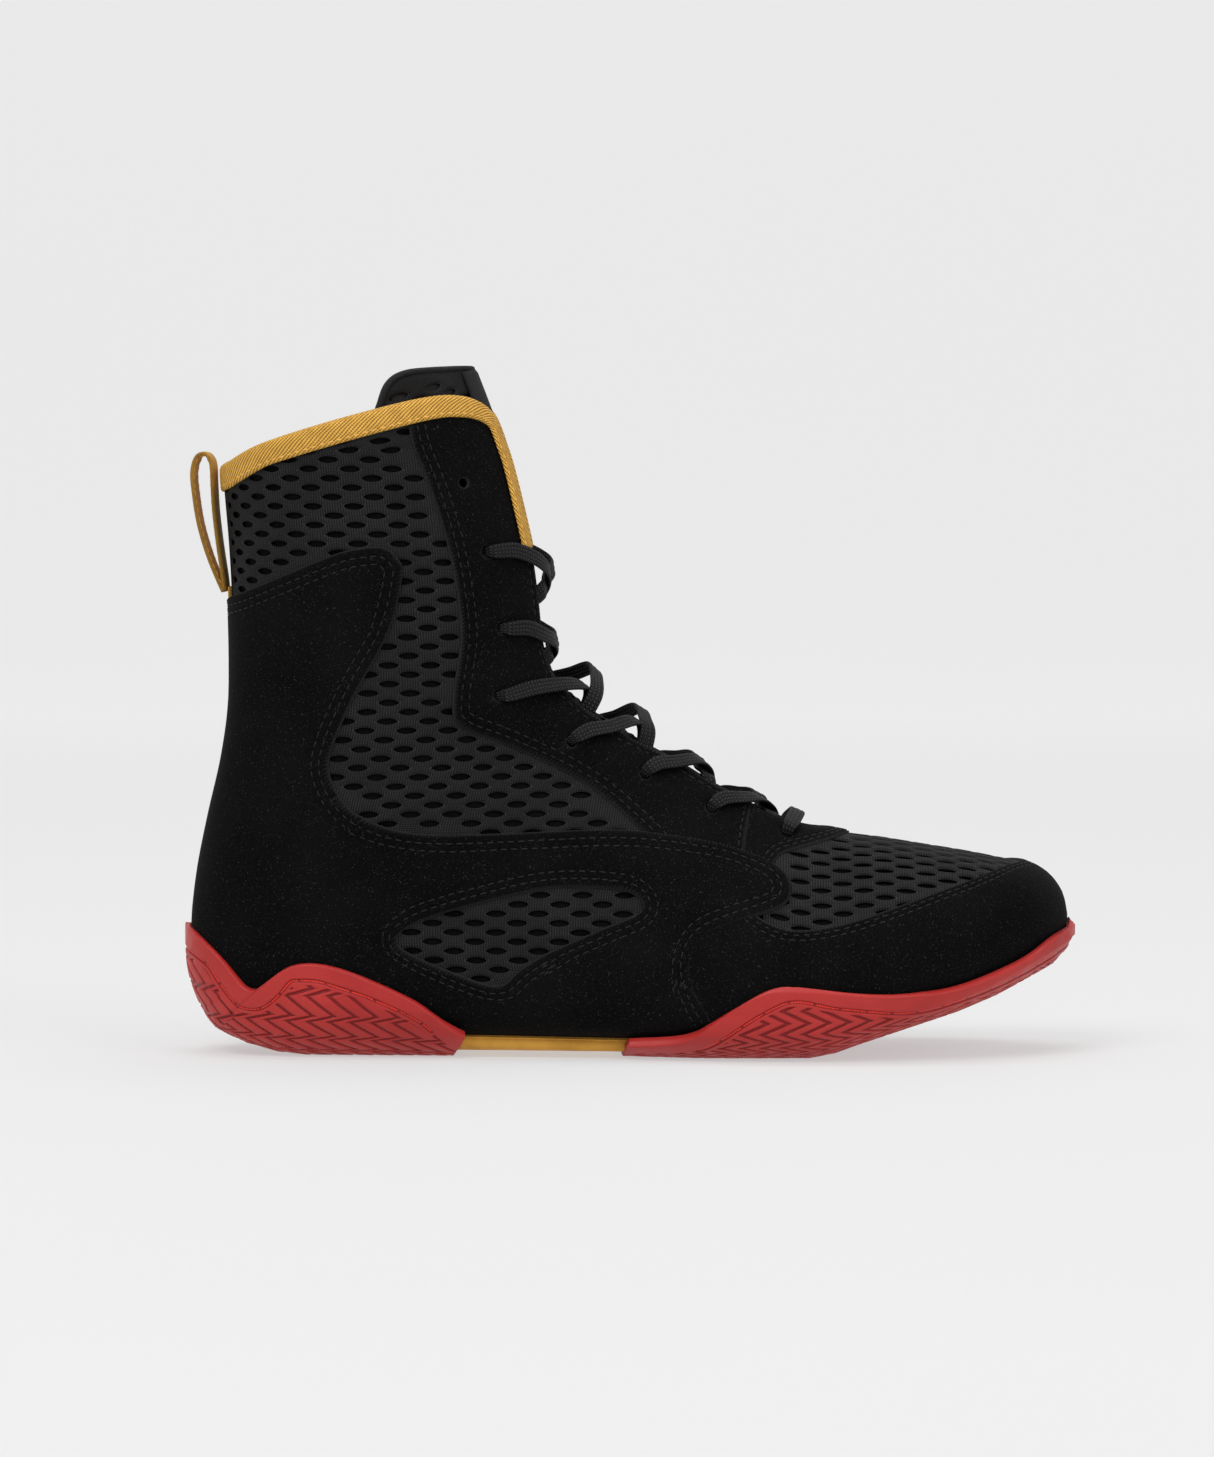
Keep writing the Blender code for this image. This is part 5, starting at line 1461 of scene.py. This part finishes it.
def lowered(point, under, ground, t):
    height = np.maximum(point[:, 2] - under[:, 2], 0)
    sink = np.maximum(under[:, 2] - ground + 1.0, 0) * (1 - np.minimum(height / 14.0, 1)) ** 2
    sink *= np.clip((t - 10.0) / 1.5, 0, 1)
    z = np.maximum(point[:, 2] - sink, np.minimum(ground, point[:, 2]))
    return np.stack([point[:, 0], point[:, 1], z], axis=1)


def on_rubber(outline, side, span):
    """Chart places at which the rubber's face shows at each x, z from the side."""
    ts, turns = np.linspace(*span, 130), np.linspace(math.radians(70), math.pi, 160)
    t, angle = grid_of(ts, turns).T
    face = rubber_point(t, side * angle)
    tree = tree_of(face[:, [0, 2]])
    result = []
    for x, z in outline:
        hits = tree.find_n((x, z, 0.0), 6)
        weight = np.array([1 / (hit[2] + 0.02) ** 2 for hit in hits])
        ids = [hit[1] for hit in hits]
        result.append(((t[ids] * weight).sum() / weight.sum(), side * (angle[ids] * weight).sum() / weight.sum()))
    result = np.array(result)
    step = 0.01
    # Newton steps to the exact place
    for _ in range(5):
        here = rubber_point(*result.T)[:, [0, 2]]
        along = (rubber_point(result[:, 0] + step, result[:, 1])[:, [0, 2]] - here) / step
        across = (rubber_point(result[:, 0], result[:, 1] + side * step)[:, [0, 2]] - here) / (side * step)
        miss = outline - here
        size = along[:, 0] * across[:, 1] - along[:, 1] * across[:, 0]
        size = np.where(np.abs(size) < 2.0, np.copysign(2.0, size), size)
        move_t = (miss[:, 0] * across[:, 1] - miss[:, 1] * across[:, 0]) / size
        move_a = (along[:, 0] * miss[:, 1] - along[:, 1] * miss[:, 0]) / size
        result += np.clip(np.stack([move_t, move_a], axis=1), -0.06, 0.06) * 0.8
        result[:, 1] = side * np.minimum(np.abs(result[:, 1]), math.pi)
        result[:, 0] = np.clip(result[:, 0], *span)
    return result


def line_distance(x, z, line):
    """Distance in the side view to a polyline, positive above it, and the place along it."""
    line = spaced(smoothed(line), 0.5)
    tree = tree_of(line)
    run = np.gradient(line, axis=0)
    found = [tree.find((a, b, 0.0))[1:] for a, b in zip(x, z)]
    index = np.array([f[0] for f in found])
    gap = np.stack([x, z], axis=1) - line[index]
    return np.sign(run[index, 0] * gap[:, 1] - run[index, 1] * gap[:, 0]) * np.linalg.norm(gap, axis=1), index * 0.5


class Tread:
    """Nested zig-zag grooves that lean with the height on the wall and run on under the foot."""

    def __init__(self, pitch, period, share, swing, tip, start):
        self.pitch, self.period, self.share = pitch, period, share
        self.swing, self.tip, self.start = swing, tip, start

    def at(self, around, height):
        turn = (self.tip - height) / self.period
        turn -= np.floor(turn)
        going_out = turn < self.share
        wave = np.where(going_out, turn / self.share, (1 - turn) / (1 - self.share))
        lean = self.swing / self.period / np.where(going_out, self.share, 1 - self.share)
        place = (around - self.start - self.swing * wave) / self.pitch
        return place, self.pitch / np.sqrt(1 + lean**2)


HEEL_TREAD = Tread(6.9, 10.1, 0.74, 8.4, 20.6, -104.0)
FOREFOOT_TREAD = Tread(6.6, 8.6, 0.5, 8.5, 16.9, 48.2)
WRAP = (-108.0, 108.0)


def round_the_foot(x, y):
    """Distance along the foot that goes on round the heel and round the toe."""
    y = np.abs(y - np.where(x > 0, 5.0, 0.0))
    result = x.copy()
    for centre, sign in ((WRAP[0], -1), (WRAP[1], 1)):
        ahead = sign * (x - centre)
        reach = np.hypot(np.maximum(ahead, 0), y)
        turned = centre + sign * reach * np.arctan2(np.maximum(ahead, 0), y)
        result = np.where(ahead > 0, turned, result)
    return result


def make_pod(name, rim, line, span, tread, node):
    """Rubber pod: chart rows from the rim on one side, under the foot, to the rim on the other side."""
    sides = []
    for side in (LATERAL, MEDIAL):
        edge = relaxed(spaced(smoothed(rim), 0.45), 70)
        sides.append(relaxed(on_rubber(edge, side, span), 6))
    count, columns = len(sides[0]), 220
    # closer columns on the walls than under the foot
    share = np.linspace(-1, 1, columns)
    share = 0.5 + 0.5 * np.sign(share) * (1 - (1 - np.abs(share)) ** 1.25)
    lateral, medial = (chart[:, None] for chart in sides)
    t = (medial[..., 0] + (lateral[..., 0] - medial[..., 0]) * share).ravel()
    angle = (medial[..., 1] + (lateral[..., 1] + 2 * math.pi - medial[..., 1]) * share).ravel()
    base = rubber_point(t, angle)
    step = 0.01
    up = np.cross(rubber_point(t + step, angle) - base, rubber_point(t, angle + step) - base)
    length = np.linalg.norm(up, axis=1)
    up = np.where(length[:, None] > 1e-7, up / np.maximum(length, 1e-7)[:, None], [[0, 0, -1.0]])
    gap, along = line_distance(base[:, 0], base[:, 2], line)
    # under the foot the height goes on as the distance inward
    grid = base.reshape(count, columns, 3)
    runs = np.linalg.norm(np.diff(grid, axis=1), axis=2)
    under = np.clip(-up[:, 2].reshape(count, columns), 0, 1) ** 2
    runs = np.hstack([np.zeros((count, 1)), runs * (under[:, 1:] + under[:, :-1]) / 2])
    inward = np.cumsum(runs, axis=1)
    inward = np.minimum(inward, inward[:, -1:] - inward).ravel()
    gap = np.where(inward > 6.0, -9.0, gap)
    place, size = tread.at(round_the_foot(base[:, 0], base[:, 1]), base[:, 2] - inward)
    part = np.abs(place - np.round(place)) * size
    groove = np.clip((0.68 - part) / 0.3, 0, 1) * np.clip((-1.35 - gap) / 0.4, 0, 1)
    seam = np.clip((0.7 - np.abs(gap)) / 0.3, 0, 1)
    from_rim = np.tile(np.minimum(np.arange(columns), np.arange(columns)[::-1]), count)
    round_off = np.clip(1 - from_rim / 4, 0, 1) ** 2 * 0.9
    outer = base - up * (0.5 * np.maximum(groove, 0.8 * seam) + round_off)[:, None]
    points, faces = thickened(outer, grid_faces(count, columns), cup_point(t, angle, CUP_INNER))
    # no grooves and no line on the inner face
    cloth = np.vstack([np.stack([place, size, gap], axis=1), np.tile([0.5, 7.0, 9.0], (len(t), 1))])
    mark = np.concatenate([along, 0 * along])
    mesh_piece(name, points, faces, RUBBER, cloth=cloth, mark=mark, nodes=(node,), slot="rubber")


def make_sole():
    make_pod("heel_pod", HEEL_RIM, HEEL_LINE, (8.3, 15.2), HEEL_TREAD, "heel_outsole")
    make_pod("forefoot_pod", FOREFOOT_RIM, FOREFOOT_LINE, (15.2, 26.95), FOREFOOT_TREAD, "forefoot_outsole")
    bottom_pad("midsole_foam", (2.1, 3.3), (11.2, 23.8), GOLD_FOAM, "midsole", half=0.52)
    rows, columns = 120, 50
    ts, turns = np.linspace(11.8, 19.6, rows), np.linspace(math.radians(151), math.radians(209), columns)
    t, angle = grid_of(ts, turns).T
    point, under = skin(t, angle, 5.0), skin(t, np.full(len(t), math.pi), 5.0)
    outer = lowered(point, under, np.full(len(t), ARCH_BOTTOM), t)
    keep = (outer[:, 0] > HEEL_POD_FRONT - 4) & (outer[:, 0] < FOREFOOT_POD_REAR + 6)
    points, faces = compact(*thickened(outer, grid_faces(rows, columns, keep), skin(t, angle, CUP_INNER)))
    mesh_piece("arch_bridge_foam", points, faces, GOLD_FOAM, nodes=("arch_bridge",), slot="gold_foam")


# --- stage ---------------------------------------------------------------------------------------


def make_stage():
    """Plain pale floor that curves up into a backdrop, soft lights, and the long-lens side view."""
    floor = Nodes("paper", (0.30, 0.30, 0.30), 0.9, Specular_IOR_Level=0.05)
    floor.colour(floor.mix(floor.noise(3.0), (0.297, 0.297, 0.297), (0.303, 0.303, 0.303)))
    floor.set("Emission Color", (1.0, 1.0, 1.0, 1.0))
    floor.link(floor.remap(floor.split()[1], -0.6, 2.6, 0.44, 0.62), floor.shader.inputs["Emission Strength"])
    turns = np.linspace(0, math.pi / 2, 24)
    bend, radius = 2.9, 0.9
    curve = [(bend + radius * math.sin(a), radius - radius * math.cos(a)) for a in turns[1:]]
    profile = [(-8.0, 0.0), (bend, 0.0), *curve, (bend + radius, 4.0)]
    points = [(x, y, z) for y, z in profile for x in (-5.0, 5.0)]
    faces = [(2 * i, 2 * i + 1, 2 * i + 3, 2 * i + 2) for i in range(len(profile) - 1)]
    mesh = bpy.data.meshes.new("backdrop")
    mesh.from_pydata(points, [], faces)
    mesh.materials.append(floor.material)
    mesh.shade_smooth()
    placed("backdrop", mesh)

    def area(name, place, size, watts):
        light = bpy.data.lights.new(name, "AREA")
        light.shape, light.size, light.energy = "DISK", size, watts
        item = placed(name, light)
        item.location = place
        item.rotation_euler = (Vector((0, 0, 0.1)) - Vector(place)).to_track_quat("-Z", "Y").to_euler()

    area("key", (-0.7, -1.3, 1.5), 1.1, 20)
    area("fill", (1.1, -1.2, 0.9), 1.2, 9)
    area("top", (0.0, 0.2, 1.9), 1.4, 14)
    world = bpy.data.worlds.new("studio")
    world.use_nodes = True
    background = world.node_tree.nodes["Background"].inputs
    background[0].default_value, background[1].default_value = (1.0, 1.0, 1.0, 1.0), 0.45
    bpy.context.scene.world = world
    bpy.context.scene.view_settings.view_transform = "Standard"

    lens = bpy.data.cameras.new("camera")
    lens.sensor_fit, lens.sensor_width = "HORIZONTAL", 36.0
    distance, width = 2.2, 0.3903
    lens.lens = 36.0 * distance / width
    lens.clip_start, lens.clip_end = 0.05, 20.0
    camera = placed("camera", lens)
    elevation = math.radians(2.5)
    target = Vector((-0.0077, -0.03, 0.1066))
    camera.location = target + distance * Vector((0, -math.cos(elevation), math.sin(elevation)))
    camera.rotation_euler = (target - camera.location).to_track_quat("-Z", "Y").to_euler()
    bpy.context.scene.camera = camera


def finish_nodes():
    """Materials for the CAD solids that stay: hidden layers inside the upper and the sole."""
    for node, material in (
        ("heel_counter", STIFFENER), ("toe_puff", STIFFENER), ("lateral_eyestay_backing", STIFFENER),
        ("medial_eyestay_backing", STIFFENER), ("insole_board", BOARD),
    ):
        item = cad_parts[node]
        for slot in item.material_slots:
            slot.material = material


make_stage()
make_quarter()
make_toe_cap()
make_eyestays()
make_throat_piece()
make_knit()
make_binding()
make_lace()
make_pull_loop()
make_tongue()
make_lining()
make_insole()
make_sole()
finish_nodes()
